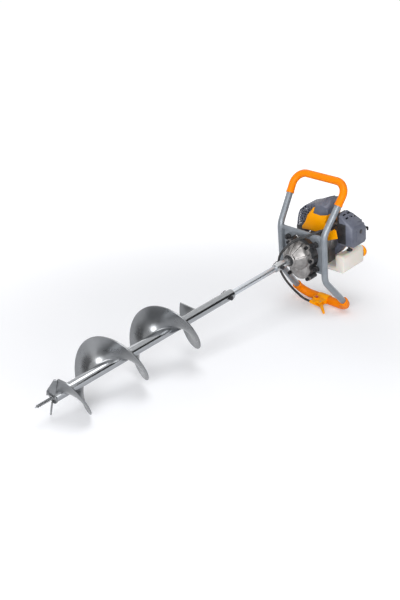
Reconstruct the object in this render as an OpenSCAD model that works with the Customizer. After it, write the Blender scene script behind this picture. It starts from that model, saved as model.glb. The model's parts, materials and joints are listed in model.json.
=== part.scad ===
// Petrol earth auger: a helical bit on a drive shaft, a two-stage reduction gearbox,
// a small two-stroke engine and a closed tube frame with two grips.
// Machine axes: x runs along the drive axis from the bit to the engine, with 0 in the plane
// of the frame's straight legs; z points to the upper grip, and -y to the air filter.
// The whole machine is laid down on its lower grip and on the first turn of the bit.

/* [Bit] */
// Diameter over the flight
bit_d = 200; // [150:5:220]
// Length of the bit from its point to the mouth of its socket
bit_len = 803; // [780:1:1000]
// Advance of the flight in one turn
flight_pitch = 220; // [160:5:240]
// Thickness of the flight plate
flight_t = 4; // [2:0.5:8]
// Turns of the flight at its full diameter
flight_turns = 2.62; // [1.7:0.01:2.65]
// Distance from the foot of the tube to the start of the flight at full diameter
flight_start = 14.6; // [14:0.1:40]
// Outer diameter of the bit's tube
bit_tube_d = 35; // [32:1:44]
// Wall of the bit's tube
bit_tube_wall = 4; // [2:0.5:5]
// Length of the twisted pilot point
pilot_len = 66; // [50:1:90]
// Width of the pilot point
pilot_d = 10; // [7:0.5:14]
// Reach of the cutter's wings from the axis
cutter_r = 86; // [60:1:92]
// Width of a cutter wing
cutter_w = 42; // [30:1:50]
// Thickness of the cutter plate
cutter_t = 5; // [3:0.5:8]
// Slope of a cutter wing
cutter_slope = 45; // [30:1:50]

/* [Drive shaft] */
// Diameter of the drive shaft
shaft_d = 22; // [18:0.5:25]
// Bare length between the bit's mouth and the gearbox nose
shaft_free = 293.5; // [240:0.5:500]
// Depth of the shaft in each of its two sockets
socket_depth = 62; // [50:1:70]
// Outer diameter of the gearbox's output socket
output_socket_d = 30; // [28:0.5:34]
// Length of the output socket outside the gearbox
output_socket_len = 74; // [68:1:90]
// Diameter of the two coupling pins
pin_d = 10; // [6:0.5:10]
// Distance of each coupling pin from the end of its socket
pin_inset = 22; // [16:1:30]

/* [Gearbox] */
// Length from the nose face to the rear face of the case
case_len = 78; // [76:1:90]
// Radius of the nose
nose_r = 27; // [25:0.5:30]
// Radius of the case over the output gear
case_r = 52; // [50:0.5:58]
// Wall of the case
case_wall = 5; // [3:0.5:6]
// Tooth module of the output stage
output_module = 1.5; // [1.4:0.05:1.55]
// Tooth module of the input stage
input_module = 1.25; // [1.15:0.05:1.3]
// Face width of the output stage
output_face = 14; // [10:0.5:15]
// Face width of the input stage
input_face = 9; // [6:0.5:10]
// Thickness of the rear cover's end wall
cover_t = 8; // [6:0.5:10]
// Depth of the rear cover's rim
rim_depth = 18; // [14:0.5:20]
// Thickness of the flange round the case
flange_t = 7; // [5:0.5:9]

/* [Engine] */
// Distance from the frame plane to the cylinder axis
cylinder_x = 112; // [110:1:120]
// Length of each crankcase half
crankcase_half = 34; // [30:1:36]
// Outer radius of the crankcase
crankcase_r = 42; // [40:0.5:44]
// Bore of the cylinder
bore_d = 44; // [38:0.5:46]
// Stroke of the piston
stroke = 34; // [28:0.5:36]
// Length of the connecting rod between centres
rod_len = 60; // [58:0.5:64]
// Height of the cylinder's deck above the drive axis
deck_z = 36; // [34:0.5:40]
// Number of cooling fins
fin_count = 7; // [4:1:8]
// Thickness of a cooling fin
fin_t = 2.5; // [1.5:0.5:3.5]
// Inner diameter of the clutch drum
drum_d = 78; // [70:1:80]
// Outer radius of the clutch housing
clutch_housing_r = 49; // [47:0.5:52]
// Radius of the flywheel
flywheel_r = 54; // [46:1:56]
// Outer radius of the starter housing
starter_r = 60; // [56:0.5:62]
// Depth of the starter housing
starter_depth = 32; // [30:0.5:40]
// Radius of the rope on the starter pulley
rope_r = 28; // [24:0.5:34]

/* [Covers, filter and tank] */
// Wall of the moulded covers
cover_wall = 2.5; // [1.5:0.5:3.5]
// Front plane of the shroud, guard and top cover
shroud_x = 66; // [62:1:68]
// Depth of the shroud along the drive axis
shroud_len = 84; // [70:1:86]
// Height of the air filter cover at its back
filter_h = 126; // [110:1:130]
// Width of the air filter cover along the drive axis
filter_w = 88; // [80:1:92]
// Depth of the air filter cover
filter_depth = 54; // [44:1:60]
// Length of the fuel tank along the drive axis
tank_len = 120; // [110:1:130]
// Wall of the fuel tank
tank_wall = 3; // [2:0.5:4]
// Diameter of the fuel cap
cap_d = 46; // [42:1:50]

/* [Frame] */
// Diameter of the frame tube
frame_tube_d = 24; // [20:0.5:26]
// Wall of the frame tube
frame_tube_wall = 2.5; // [1.5:0.5:4]
// Distance between the straight legs
leg_gap = 200; // [200:2:220]
// Height of the elbows above the drive axis
elbow_z = 91; // [86:1:96]
// Distance of a grip behind the leg plane
grip_back = 120; // [100:1:126]
// Height of a grip above the drive axis
grip_z = 251; // [246:1:260]
// Distance between the two corners of a grip
grip_w = 234; // [230:2:260]
// Bend radius at an elbow
elbow_r = 60; // [40:1:80]
// Bend radius at a grip corner
corner_r = 46; // [40:1:56]
// Outer diameter of the upper sleeve
upper_sleeve_d = 28; // [27:0.5:32]
// Outer diameter of the lower sleeve
lower_sleeve_d = 33; // [27:0.5:36]
// Length of the upper sleeve down each leg
upper_sleeve_leg = 84; // [70:1:100]
// Length of the lower sleeve up each leg
lower_sleeve_leg = 56; // [50:1:70]
// Thickness of the mounting plate
plate_t = 4; // [3:0.5:5]
// Width of the damper pattern across the drive axis
damper_gap_y = 126; // [122:1:130]
// Height of the damper pattern
damper_gap_z = 96; // [92:1:100]
// Diameter of a rubber damper
damper_d = 22; // [18:0.5:24]
// Thickness of a rubber damper on each side of the plate
damper_t = 11; // [8:0.5:12]

/* [Throttle] */
// Length of the throttle housing along the lower grip
throttle_len = 48; // [40:1:56]
// Length of the trigger from its pivot
trigger_len = 74; // [50:1:80]
// Diameter of the trigger's pivot pin
trigger_pin_d = 5; // [4:0.5:6]
// Diameter of the throttle cable's sleeve
cable_d = 9; // [6:0.5:10]

/* [Hidden] */
$fn = 64;

// Finishes
orange = "#f28c13";
frame_grey = "#8d9399";
steel = "#b4b8bb";
dark_steel = "#4c4f52";
cast_alloy = "#b9b3ab";
slate = "#565b66";
black = "#232427";
tank_white = "#ece6d8";
red = "#c8322a";
porcelain = "#d8d2c4";
foam = "#3a3b3d";

// Clearances: running fit, a seated fit inside one body, and room between moving pieces
run_clear = 0.05;
seat_clear = 0.05;
move_clear = 0.4;
cut_over = 1;

// Facets of the bent frame tubes
bend_steps = 6;
pipe_sides = 20;

// Stations of the drive line
nose_x = -case_len;
mouth_x = nose_x - shaft_free;
tip_x = mouth_x - bit_len;
tube_x = tip_x + pilot_len;
socket_x = nose_x - output_socket_len;
bit_pin_x = mouth_x - pin_inset;
output_pin_x = socket_x + pin_inset;
tube_r = bit_tube_d / 2;
shaft_r = shaft_d / 2;
pin_r = pin_d / 2;
output_socket_r = output_socket_d / 2;
journal_r = 10;
bottom_turns = 0.37;
flight_x = tube_x + flight_start;
bottom_x = flight_x + bottom_turns * flight_pitch;
flight_t0 = -0.5 - bottom_turns;
lead_turns = (flight_start - flight_t / 2 - 0.5) / flight_pitch;
lead_cut = 0.12;

// Gear train
pressure_angle = 25;
pinion_teeth = 10;
output_teeth = 54;
input_teeth = 56;
addendum = 0.8;
dedendum = 1.05;
backlash = 0.25;
layshaft_z = -output_module * (pinion_teeth + output_teeth) / 2;
crank_z = layshaft_z + input_module * (pinion_teeth + input_teeth) / 2;
split_x = -rim_depth;
output_gear_x1 = nose_x + 52;
output_gear_x0 = output_gear_x1 - output_face;
input_gear_x0 = output_gear_x1 + 6;
input_gear_x1 = input_gear_x0 + input_face;
output_gear_r = output_module * (output_teeth / 2 + addendum);
input_gear_r = input_module * (input_teeth / 2 + addendum);
cavity_r = output_gear_r + 3;
bulge_cavity_r = input_gear_r + 2.5;
bulge_r = bulge_cavity_r + case_wall;
cavity_x = output_gear_x0 - 2;
bulge_x = input_gear_x0 - 3;
layshaft_r = 5;
pinion_shaft_r = 4.5;
seal_t = 7;
seal_r = 21;
bearing_t = (cavity_x - nose_x - seal_t) / 2;
small_bearing_r = 10;
small_bearing_t = 6;
pinion_bearing_r = 12;
gearbox_bolt_r = 4;
gearbox_bolt_boss_r = 9;
gearbox_bolt_places = [
    [42, 42], [-42, 42], [59.5, -8], [-59.5, -8], [42, layshaft_z - 36], [-42, layshaft_z - 36]
];

// Engine stations along the drive axis
clutch_x = cover_t;
case_x0 = cylinder_x - crankcase_half;
case_x1 = cylinder_x + crankcase_half;
drum_x0 = clutch_x + 6;
drum_len = 26;
clutch_flange_t = 8;
drum_r = drum_d / 2 + 2;
shoe_r = drum_d / 2 - 1.5;
crank_shaft_r = 8;
web_r = 26;
web_t = 8;
web_gap = 14;
crank_pin_r = 7;
crank_bearing_r = 18;
crank_bearing_t = 12;
bore_r = bore_d / 2;
piston_pin_z = crank_z + stroke / 2 + rod_len;
wrist_r = 5;
piston_crown = 20;
piston_skirt = 16;
head_z = piston_pin_z + piston_crown + 2;
cylinder_top = head_z + 12;
barrel_r = bore_r + 6;
fin_x = 33.5;
fin_y = 40;
plug_lean = 48;
plug_r = 5;
flywheel_x0 = case_x1 + 5;
flywheel_x1 = flywheel_x0 + 20;
fan_r = flywheel_r + 6;
fan_x1 = flywheel_x1 + 4;
starter_x1 = fan_x1 + starter_depth;
pulley_x = fan_x1 + 8;
pulley_t = 12;
post_r = 6;

// Mounting to the frame
leg_y = leg_gap / 2;
frame_tube_r = frame_tube_d / 2;
grip_y = grip_w / 2;
hoop_bends = [0, elbow_r, corner_r, corner_r, elbow_r, 0];
plate_x = 2;
plate_hole_r = 70;
plate_half_y = leg_y - frame_tube_r / 2;
weld_gap = 0.3;
plate_low_z = -damper_gap_z / 2 - 18;
crossbar_h = 16;
crossbar_top = 90;
plate_top = crossbar_top - crossbar_h + 2;
ear_x = plate_x + plate_t + damper_t;
ear_t = 8;
damper_bolt_r = 4;
damper_x0 = plate_x - damper_t;

// Covers and breathing, with (y, z) outlines of the shroud and of the top cover
shroud_outline = [
    [55, 56], [55, 66], [40, 86], [27, 118], [2, 148], [-4, 155.5], [-7.5, 155.5], [0.7, 131.4],
    [-31.6, 129.4], [-63, 137.6], [-54, 110], [-46, 84], [-39, 66], [-11, 60.5], [27, 58.5]
];
flap_outline = [
    [-42, 86], [-37, 70], [-65, 38], [-92, 51], [-108, 58], [-102, 88], [-93, 91], [-80, 80], [-53, 104]
];
top_front = [[-1.9, 132], [-14.6, 164.6], [-42, 169], [-68.6, 162], [-66, 139], [-31.6, 130]];
top_middle = [
    [-1, 131.5], [14, 150], [18, 161], [2, 167], [-34, 185], [-54, 186], [-64, 178], [-68, 160],
    [-66, 139], [-31.6, 130]
];
top_back = [
    [-1, 131.5], [10, 150], [12, 157], [-34, 177], [-54, 178], [-64, 170], [-66, 155], [-64, 139],
    [-31.6, 130]
];
top_middle_x = shroud_x + 38;
standoff_z = 86;
standoff_r = 5;
// Outer edge of the guard from the bottom up, and its inner edge from the top down
guard_x0 = shroud_x + 22;
guard_x1 = cylinder_x + 37.5;
guard_outer = [[89, 42], [98, 48], [94, 76], [88, 101], [80, 119], [55, 141], [33, 150]];
guard_inner = [[26, 150], [31, 122], [45, 90], [59, 70], [59, 42]];
guard_sheet = 2;
guard_hole_r = 4.3;
guard_pitch = 10.5;
intake_z = 84;
exhaust_z = 84;
insulator_y = -fin_y - 20;
carb_len = 36;
carb_y = insulator_y - carb_len;
carb_half = 18;
carb_stop_x = 90;
throttle_spindle_r = 3;
filter_x0 = cylinder_x - 34;
filter_z0 = 23;
filter_base_t = 10;
filter_y0 = carb_y - filter_base_t;
filter_y1 = filter_y0 - filter_depth;
filter_screw_x = filter_x0 + 56;
filter_screw_z = filter_z0 + 51;
filter_screw_head = 1.5;
filter_back = [
    [0.11, 0], [0.89, 0], [1, 0.08], [1, 0.72], [0.91, 0.8], [0.52, 1], [0.09, 1], [0, 0.94], [0, 0.08]
];
filter_middle = [
    [0.11, 0.01], [0.89, 0.01], [1, 0.09], [1, 0.64], [0.9, 0.71], [0.1, 0.76], [0, 0.7], [0, 0.09]
];
filter_front = [
    [0.14, 0.02], [0.89, 0.02], [0.98, 0.08], [0.98, 0.47], [0.89, 0.53], [0.16, 0.64], [0.05, 0.58],
    [0.05, 0.13]
];
choke_x = filter_x0 + filter_w + 4;
choke_z = filter_z0 + 42;
choke_r = 3;
tail_r = 8;
tail_len = 22;
tail_y = 68;
tail_z = 92;
sheet_t = 2;
muffler_x0 = guard_x0 + 5;
muffler_x1 = guard_x1 - 2.5;
muffler_y0 = 54;
muffler_y1 = 82;
muffler_z0 = 50;
muffler_z1 = 104;

// Fuel tank: a raised near part and a low part under the crankcase
tank_x0 = cylinder_x - 16;
tank_x1 = tank_x0 + tank_len;
tank_y0 = -111;
tank_step_y = -72;
tank_y1 = 40;
tank_bottom = -100;
tank_low_top = -80;
tank_top = -28;
cap_y = (tank_y0 + tank_step_y) / 2 + 1;
cap_z = (tank_bottom + tank_top) / 2 + 2;
tank_foot_y = 26;
tank_foot_w = 12;
neck_r = 18;
neck_len = 12;
cap_reach = 18;

// Lying posture: a floor line under the flight's first low point and the lower sleeve
flight_r = bit_d / 2;
lower_sleeve_r = lower_sleeve_d / 2;
edge_drop = 0.335;
rest_dx = grip_back - bottom_x;
rest_dz = grip_z - flight_r;
lie_angle = atan2(rest_dz, rest_dx) + asin(lower_sleeve_r / norm([rest_dx, rest_dz]));
lift = grip_z * cos(lie_angle) - grip_back * sin(lie_angle) + lower_sleeve_r + edge_drop;
cap_back_x = tank_x1 + cap_reach;
corner_draw = 4.3;
cap_low_z = cap_z - cap_d / 2;
centre_x = ((tip_x + cap_back_x) * cos(lie_angle) - cap_low_z * sin(lie_angle)) / 2;
centre_y = (filter_y1 - filter_screw_head + grip_y + lower_sleeve_r - corner_draw) / 2;

// Throttle on the lower grip
throttle_y0 = -20;
throttle_y1 = throttle_y0 + throttle_len;
throttle_x0 = grip_back - 56;
throttle_top = -grip_z + 12;
throttle_bottom = -grip_z - 4;
trigger_x = throttle_x0 + 14;
trigger_y = throttle_y0 + 10;
trigger_z = -grip_z + 4;
trigger_t = 9;
trigger_rest = 41;
switch_x = throttle_x0 + 24;
switch_y = throttle_y1 - 11;
switch_floor = throttle_top + 2;
switch_half = 5;
switch_run = 8;
switch_rim = 3;

// Cable and hose routes, ends first at the throttle and at the tank
cable_route = [
    [66, 30.5, -247], [66, 39, -247], [65, 52, -245], [61, 67, -238], [53, 80, -222], [40, 88, -202],
    [16, 86, -170],
    [-10, 80, -136], [-38, 72, -94], [-64, 60, -52], [-80, 46, -14], [-82, 35, 15], [-72, 23, 36],
    [-56, 8, 56], [-38, -12, 70], [-24, -36, 82], [-6, -62, 96], [18, -80, 102], [46, -86, 100],
    [72, -84, 97], [89.4, -82, 96]
];
hose_route = [
    [tank_x0 + 52, -96, tank_top + 4], [tank_x0 + 50, -92, -6], [tank_x0 + 42, -86, 20],
    [tank_x0 + 30, -82, 44], [tank_x0 + 24, -80, intake_z - carb_half - 0.7]
];
return_route = [
    [tank_x0 + 62, -92, tank_top + 4], [tank_x0 + 58, -86, -6], [tank_x0 + 48, -78, 20],
    [tank_x0 + 34, -74, 44], [tank_x0 + 28, -72, intake_z - carb_half - 0.7]
];
hose_d = 5;

// Helpers

module lie() {
    translate([-centre_x, -centre_y, lift])
        rotate([0, -lie_angle, 0])
            children();
}

module rod_x(x0, x1, r) {
    translate([x0, 0, 0]) rotate([0, 90, 0]) cylinder(h = x1 - x0, r = r);
}

module rod_y(y0, y1, r) {
    translate([0, y1, 0]) rotate([90, 0, 0]) cylinder(h = y1 - y0, r = r);
}

module rod_z(z0, z1, r) {
    translate([0, 0, z0]) cylinder(h = z1 - z0, r = r);
}

// Turns an outline of [radius, x] points about the x axis
module lathe_x(points) {
    rotate([0, 90, 0]) rotate_extrude() polygon(points);
}

// Extrudes a (y, z) outline from x0 to x1
module slab_x(x0, x1) {
    translate([x0, 0, 0]) rotate([90, 0, 90]) linear_extrude(x1 - x0) children();
}

// Extrudes an (x, z) outline from y0 to y1
module slab_y(y0, y1) {
    translate([0, y1, 0]) rotate([90, 0, 0]) linear_extrude(y1 - y0) children();
}

module block(low, high) {
    translate(low) cube(high - low);
}

function unit(v) = v / norm(v);
// Triangles that join rings of points, each with the same number of sides
function ring_walls(rings, sides, first, flip) = [
    for (i = [0 : rings - 2]) for (k = [0 : sides - 1])
        let (a = first + i * sides + k, b = first + i * sides + (k + 1) % sides)
        each flip
            ? [[a, b, a + sides], [b, b + sides, a + sides]]
            : [[a, a + sides, b], [b, a + sides, b + sides]]
];
function fan(sides, first, flip) = [
    for (k = [1 : sides - 2]) flip ? [first, first + k + 1, first + k] : [first, first + k, first + k + 1]
];
function ring(at, dir, ref, r, sides) =
    let (u = unit(cross(ref, dir)), w = cross(dir, u))
    [for (k = [0 : sides - 1]) at + (u * cos(360 * k / sides) + w * sin(360 * k / sides)) * r];

// Stations [point, direction] of a tube with straight runs and an arc at each inner point
function turn_angle(p, i) = acos(unit(p[i] - p[i - 1]) * unit(p[i + 1] - p[i]));
function bend_station(p, bends, i, share) =
    let (
        d = unit(p[i] - p[i - 1]),
        e = unit(p[i + 1] - p[i]),
        n = unit(e - d * (d * e)),
        c = p[i] - d * (bends[i] * tan(turn_angle(p, i) / 2)) + n * bends[i],
        a = turn_angle(p, i) * share
    )
    [c + (d * sin(a) - n * cos(a)) * bends[i], d * cos(a) + n * sin(a)];
function bent_stations(p, bends) = concat(
    [[p[0], unit(p[1] - p[0])]],
    [for (i = [1 : len(p) - 2]) for (k = [0 : bend_steps]) bend_station(p, bends, i, k / bend_steps)],
    [[p[len(p) - 1], unit(p[len(p) - 1] - p[len(p) - 2])]]
);

module bent_pipe(p, bends, ref, r_out, r_in) {
    stations = bent_stations(p, bends);
    n = len(stations);
    m = pipe_sides;
    points = concat(
        [for (q = stations) each ring(q[0], q[1], ref, r_out, m)],
        [for (q = stations) each ring(q[0], q[1], ref, r_in, m)]
    );
    inner = n * m;
    tail = (n - 1) * m;
    rims = [
        for (k = [0 : m - 1])
            let (j = (k + 1) % m)
            each [
                [k, j, inner + k], [j, inner + j, inner + k],
                [tail + k, inner + tail + k, tail + j], [tail + j, inner + tail + k, inner + tail + j]
            ]
    ];
    polyhedron(points, concat(ring_walls(n, m, 0, false), ring_walls(n, m, inner, true), rims));
}

// A smooth cord through the route's points, swept as one closed surface
function spline(p, i, t) =
    let (a = p[max(i - 1, 0)], b = p[i], c = p[i + 1], d = p[min(i + 2, len(p) - 1)])
    0.5 * (2 * b + (c - a) * t + (2 * a - 5 * b + 4 * c - d) * t * t + (3 * b - a - 3 * c + d) * t * t * t);
function route_points(p, steps) = concat(
    [for (i = [0 : len(p) - 2]) for (k = [0 : steps - 1]) spline(p, i, k / steps)],
    [p[len(p) - 1]]
);

module cord(p, d, ref, sides, steps) {
    q = route_points(p, steps);
    n = len(q);
    points = [
        for (i = [0 : n - 1])
            each ring(q[i], unit(q[min(i + 1, n - 1)] - q[max(i - 1, 0)]), ref, d / 2, sides)
    ];
    polyhedron(points, concat(
        ring_walls(n, sides, 0, false), fan(sides, 0, false), fan(sides, (n - 1) * sides, true)
    ));
}

// Involute spur gear outline with a tooth centred on +x
function involute(a) = tan(a) * 180 / PI - a;
function tooth_half(r, pitch_r, teeth) =
    90 / teeth - backlash / 4 / pitch_r * 180 / PI
    + involute(pressure_angle) - involute(acos(min(1, pitch_r * cos(pressure_angle) / r)));
function polar(r, a) = [r * cos(a), r * sin(a)];

module spur_outline(m, teeth) {
    pitch_r = m * teeth / 2;
    tip = pitch_r + addendum * m;
    root = pitch_r - dedendum * m;
    start = max(root, pitch_r * cos(pressure_angle));
    flank = [for (i = [0 : 4]) start + (tip - start) * i / 4];
    polygon([
        for (k = [0 : teeth - 1])
            let (c = k * 360 / teeth)
            each concat(
                [polar(root, c - tooth_half(start, pitch_r, teeth))],
                [for (r = flank) polar(r, c - tooth_half(r, pitch_r, teeth))],
                [for (i = [0 : 4]) polar(flank[4 - i], c + tooth_half(flank[4 - i], pitch_r, teeth))],
                [polar(root, c + tooth_half(start, pitch_r, teeth))]
            )
    ]);
}

// A spur gear on the x axis whose tooth, or space, points along z by the given turn
module spur_gear(x0, x1, m, teeth, turn) {
    slab_x(x0, x1) rotate(turn) spur_outline(m, teeth);
}

module ball_bearing(x0, t, r_in, r_out) {
    difference() {
        rod_x(x0, x0 + t, r_out);
        rod_x(x0 - cut_over, x0 + t + cut_over, r_in);
    }
}

// Bit

module pilot_point() {
    turns = 4.5;
    rings = 55;
    taper = 10;
    points = [
        for (i = [0 : rings])
            let (
                x = (pilot_len - cutter_t - 2 * seat_clear) * i / rings,
                a = 360 * turns * i / rings,
                w = pilot_d / 2 * min(1, 0.12 + x / taper),
                t = w * 0.45,
                c = cos(a),
                k = sin(a)
            )
            each [for (v = [[-w, -t], [w, -t], [w, t], [-w, t]]) [x, v.x * c - v.y * k, v.x * k + v.y * c]]
    ];
    color(dark_steel) lie() translate([tip_x, 0, 0])
        polyhedron(points, concat(
            ring_walls(rings + 1, 4, 0, false), fan(4, 0, false), fan(4, rings * 4, true)
        ));
}

module cutter_wing(turn) {
    root_r = tube_r + 1;
    rotate([turn, 0, 0]) rotate([0, 0, cutter_slope])
        slab_x(-cutter_t / 2, cutter_t / 2)
            polygon([
                [-cutter_w * 0.14, root_r - 9], [cutter_w * 0.48, root_r - 9],
                [cutter_w * 0.5, cutter_r * 0.32], [cutter_w * 0.1, cutter_r],
                [-cutter_w * 0.14, cutter_r]
            ]);
}

module cutter_blade() {
    wing_turn = 25;
    color(steel) lie() translate([tube_x - cutter_t / 2 - seat_clear, 0, 0]) {
        rod_x(-cutter_t / 2, cutter_t / 2, tube_r + 2);
        intersection() {
            union() for (side = [0, 180]) cutter_wing(wing_turn + side);
            rod_x(-40, cutter_t / 2, cutter_r + 10);
        }
    }
}

// Radius of the flight's outer edge, which grows to full size behind the cutter
function flight_edge(t) = flight_r * min(1, 1 + lead_cut * (t - flight_t0) / lead_turns);

module bit_flight() {
    steps = 46;
    t_first = flight_t0 - lead_turns;
    t_last = flight_t0 + flight_turns;
    count = ceil((t_last - t_first) * steps);
    inner = tube_r + 0.1;
    stations = [for (i = [0 : count]) t_first + (t_last - t_first) * i / count];
    points = [
        for (t = stations)
            let (x = flight_x + (t - flight_t0) * flight_pitch, c = cos(360 * t), s = sin(360 * t))
            each [
                [x - flight_t / 2, -inner * s, inner * c], [x + flight_t / 2, -inner * s, inner * c],
                [x + flight_t / 2, -flight_edge(t) * s, flight_edge(t) * c],
                [x - flight_t / 2, -flight_edge(t) * s, flight_edge(t) * c]
            ]
    ];
    walls = [
        for (i = [0 : count - 1]) for (k = [0 : 3])
            let (a = i * 4 + k, b = i * 4 + (k + 1) % 4)
            each [[a, b, a + 4], [b, b + 4, a + 4]]
    ];
    n = count * 4;
    ends = [[0, 2, 1], [0, 3, 2], [n, n + 1, n + 2], [n, n + 2, n + 3]];
    color(steel) lie() polyhedron(points, concat(walls, ends));
}

module bit_tube() {
    color(steel) lie() difference() {
        rod_x(tube_x, mouth_x, tube_r);
        rod_x(tube_x + 6, mouth_x - socket_depth - 6, tube_r - bit_tube_wall);
        rod_x(mouth_x - socket_depth, mouth_x + cut_over, shaft_r + seat_clear);
        translate([bit_pin_x, 0, 0]) rod_y(-tube_r - cut_over, tube_r + cut_over, pin_r + seat_clear);
    }
}

module coupling_pin(x, r_out) {
    ring_r = 9;
    wire_r = 1.2;
    hole_y = r_out + 4;
    translate([x, 0, 0]) {
        difference() {
            union() {
                rod_y(-r_out - 1, hole_y + 4, pin_r);
                rod_y(-r_out - 6, -r_out - 0.1, pin_r + 2.5);
            }
            translate([0, hole_y, 0]) rod_z(-pin_r - cut_over, pin_r + cut_over, wire_r + 1.7);
        }
        translate([ring_r, hole_y, 0]) rotate([90, 0, 0])
            rotate_extrude() translate([ring_r, 0]) circle(r = wire_r);
    }
}

module drive_pins() {
    color(dark_steel) lie() {
        coupling_pin(bit_pin_x, tube_r);
        coupling_pin(output_pin_x, output_socket_r);
    }
}

module extension_shaft() {
    color(steel) lie() difference() {
        rod_x(mouth_x - socket_depth + 0.5, socket_x + socket_depth - 0.5, shaft_r);
        for (x = [bit_pin_x, output_pin_x])
            translate([x, 0, 0]) rod_y(-shaft_r - cut_over, shaft_r + cut_over, pin_r + seat_clear);
    }
}

// Gearbox and drive train

module output_shaft() {
    color(steel) lie() difference() {
        union() {
            rod_x(socket_x, nose_x - move_clear, output_socket_r);
            rod_x(nose_x - move_clear - cut_over, output_gear_x1, journal_r);
        }
        rod_x(socket_x - cut_over, socket_x + socket_depth, shaft_r + seat_clear);
        translate([output_pin_x, 0, 0])
            rod_y(-output_socket_r - cut_over, output_socket_r + cut_over, pin_r + seat_clear);
    }
}

module output_gear() {
    color(dark_steel) lie() difference() {
        spur_gear(output_gear_x0, output_gear_x1, output_module, output_teeth, -90);
        rod_x(output_gear_x0 - cut_over, output_gear_x1 + cut_over, journal_r + seat_clear);
    }
}

module layshaft() {
    half_pitch = 180 / pinion_teeth;
    color(dark_steel) lie() translate([0, 0, layshaft_z]) {
        rod_x(cavity_x - small_bearing_t, cover_t - 1, layshaft_r);
        spur_gear(output_gear_x0 - 1, output_gear_x1 + 1, output_module, pinion_teeth, 90 + half_pitch);
        spur_gear(input_gear_x0, input_gear_x1, input_module, input_teeth, 90);
        rod_x(output_gear_x1, input_gear_x0 + cut_over, layshaft_r + 1);
    }
}

module drive_pinion() {
    half_pitch = 180 / pinion_teeth;
    color(dark_steel) lie() translate([0, 0, crank_z]) {
        spur_gear(input_gear_x0 - 1, input_gear_x1 + 1, input_module, pinion_teeth, -90 + half_pitch);
        rod_x(input_gear_x1, drum_x0 + 4, pinion_shaft_r);
    }
}

module clutch_drum() {
    color(steel) lie() translate([0, 0, crank_z]) difference() {
        rod_x(drum_x0, drum_x0 + drum_len, drum_r);
        rod_x(drum_x0 + 4, drum_x0 + drum_len + cut_over, drum_d / 2);
        rod_x(drum_x0 - cut_over, drum_x0 + 4 + cut_over, pinion_shaft_r + seat_clear);
    }
}

// Outline shared by the case's flange, its cover and the clutch housing's front
module gearbox_flange(x0, x1) {
    rod_x(x0, x1, case_r + 6);
    translate([0, 0, layshaft_z]) rod_x(x0, x1, bulge_r + 5);
    for (p = gearbox_bolt_places) translate([0, p.x, p.y]) rod_x(x0, x1, gearbox_bolt_boss_r);
}

module gearbox_case() {
    color(cast_alloy) lie() difference() {
        union() {
            lathe_x([
                [0, nose_x], [nose_r - 2, nose_x], [nose_r, nose_x + 2], [nose_r, nose_x + 8],
                [cavity_r + 4.5, cavity_x - 1], [case_r, cavity_x + 4], [case_r, split_x], [0, split_x]
            ]);
            translate([0, 0, layshaft_z]) {
                lathe_x([
                    [0, cavity_x - small_bearing_t - 4], [14, cavity_x - small_bearing_t - 4],
                    [17, cavity_x + 1], [bulge_r - 5, bulge_x - case_wall], [bulge_r, bulge_x],
                    [bulge_r, split_x], [0, split_x]
                ]);
            }
            gearbox_flange(split_x - flange_t, split_x);
            for (turn = [0, 24, -24, 73, -73])
                rotate([turn, 0, 0])
                    slab_y(-2.5, 2.5)
                        polygon([
                            [nose_x + 4, nose_r - 3], [nose_x + 4, nose_r + 2.5],
                            [cavity_x - 4, cavity_r + 10.5], [cavity_x + 4, case_r + 7],
                            [split_x - flange_t / 2, case_r + 7], [split_x - flange_t / 2, case_r - 3],
                            [cavity_x + 6, case_r - 4], [cavity_x - 1, cavity_r + 1.5],
                            [nose_x + 9, nose_r - 2]
                        ]);
        }
        rod_x(cavity_x, split_x + cut_over, cavity_r);
        rod_x(nose_x - cut_over, cavity_x + cut_over, seal_r + seat_clear);
        translate([0, 0, layshaft_z]) {
            rod_x(cavity_x - small_bearing_t, split_x + cut_over, small_bearing_r + seat_clear);
            rod_x(bulge_x, split_x + cut_over, bulge_cavity_r);
        }
        for (p = gearbox_bolt_places)
            translate([0, p.x, p.y])
                rod_x(split_x - flange_t - cut_over, split_x + cut_over, gearbox_bolt_r + seat_clear);
    }
}

module gearbox_cover() {
    color(black) lie() difference() {
        gearbox_flange(split_x, cover_t);
        rod_x(split_x - cut_over, 0, cavity_r);
        translate([0, 0, crank_z]) rod_x(-cut_over, cover_t + cut_over, pinion_bearing_r + seat_clear);
        translate([0, 0, layshaft_z]) {
            rod_x(split_x - cut_over, 0, bulge_cavity_r);
            rod_x(-cut_over, small_bearing_t, small_bearing_r + seat_clear);
            rod_x(-cut_over, cover_t - 0.5, layshaft_r + move_clear);
        }
        for (p = gearbox_bolt_places)
            translate([0, p.x, p.y])
                rod_x(split_x - cut_over, cover_t + cut_over, gearbox_bolt_r + seat_clear);
    }
}

module output_seal() {
    color(black) lie() difference() {
        union() {
            rod_x(nose_x + 0.5, nose_x + seal_t, seal_r);
            rod_x(nose_x, nose_x + 1, seal_r - 2);
        }
        rod_x(nose_x - cut_over, nose_x + seal_t + cut_over, journal_r + run_clear);
    }
}

module ball_bearings() {
    color(steel) lie() {
        for (i = [0, 1])
            ball_bearing(nose_x + seal_t + i * bearing_t, bearing_t - 0.3, journal_r + run_clear, seal_r);
        translate([0, 0, layshaft_z]) {
            for (x = [cavity_x - small_bearing_t, 0])
                ball_bearing(x, small_bearing_t, layshaft_r + run_clear, small_bearing_r);
        }
        translate([0, 0, crank_z]) {
            ball_bearing(0, cover_t, pinion_shaft_r + run_clear, pinion_bearing_r);
            for (x = [case_x0 + 6, case_x1 - 6 - crank_bearing_t])
                ball_bearing(x, crank_bearing_t, crank_shaft_r + seat_clear, crank_bearing_r);
        }
    }
}

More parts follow.
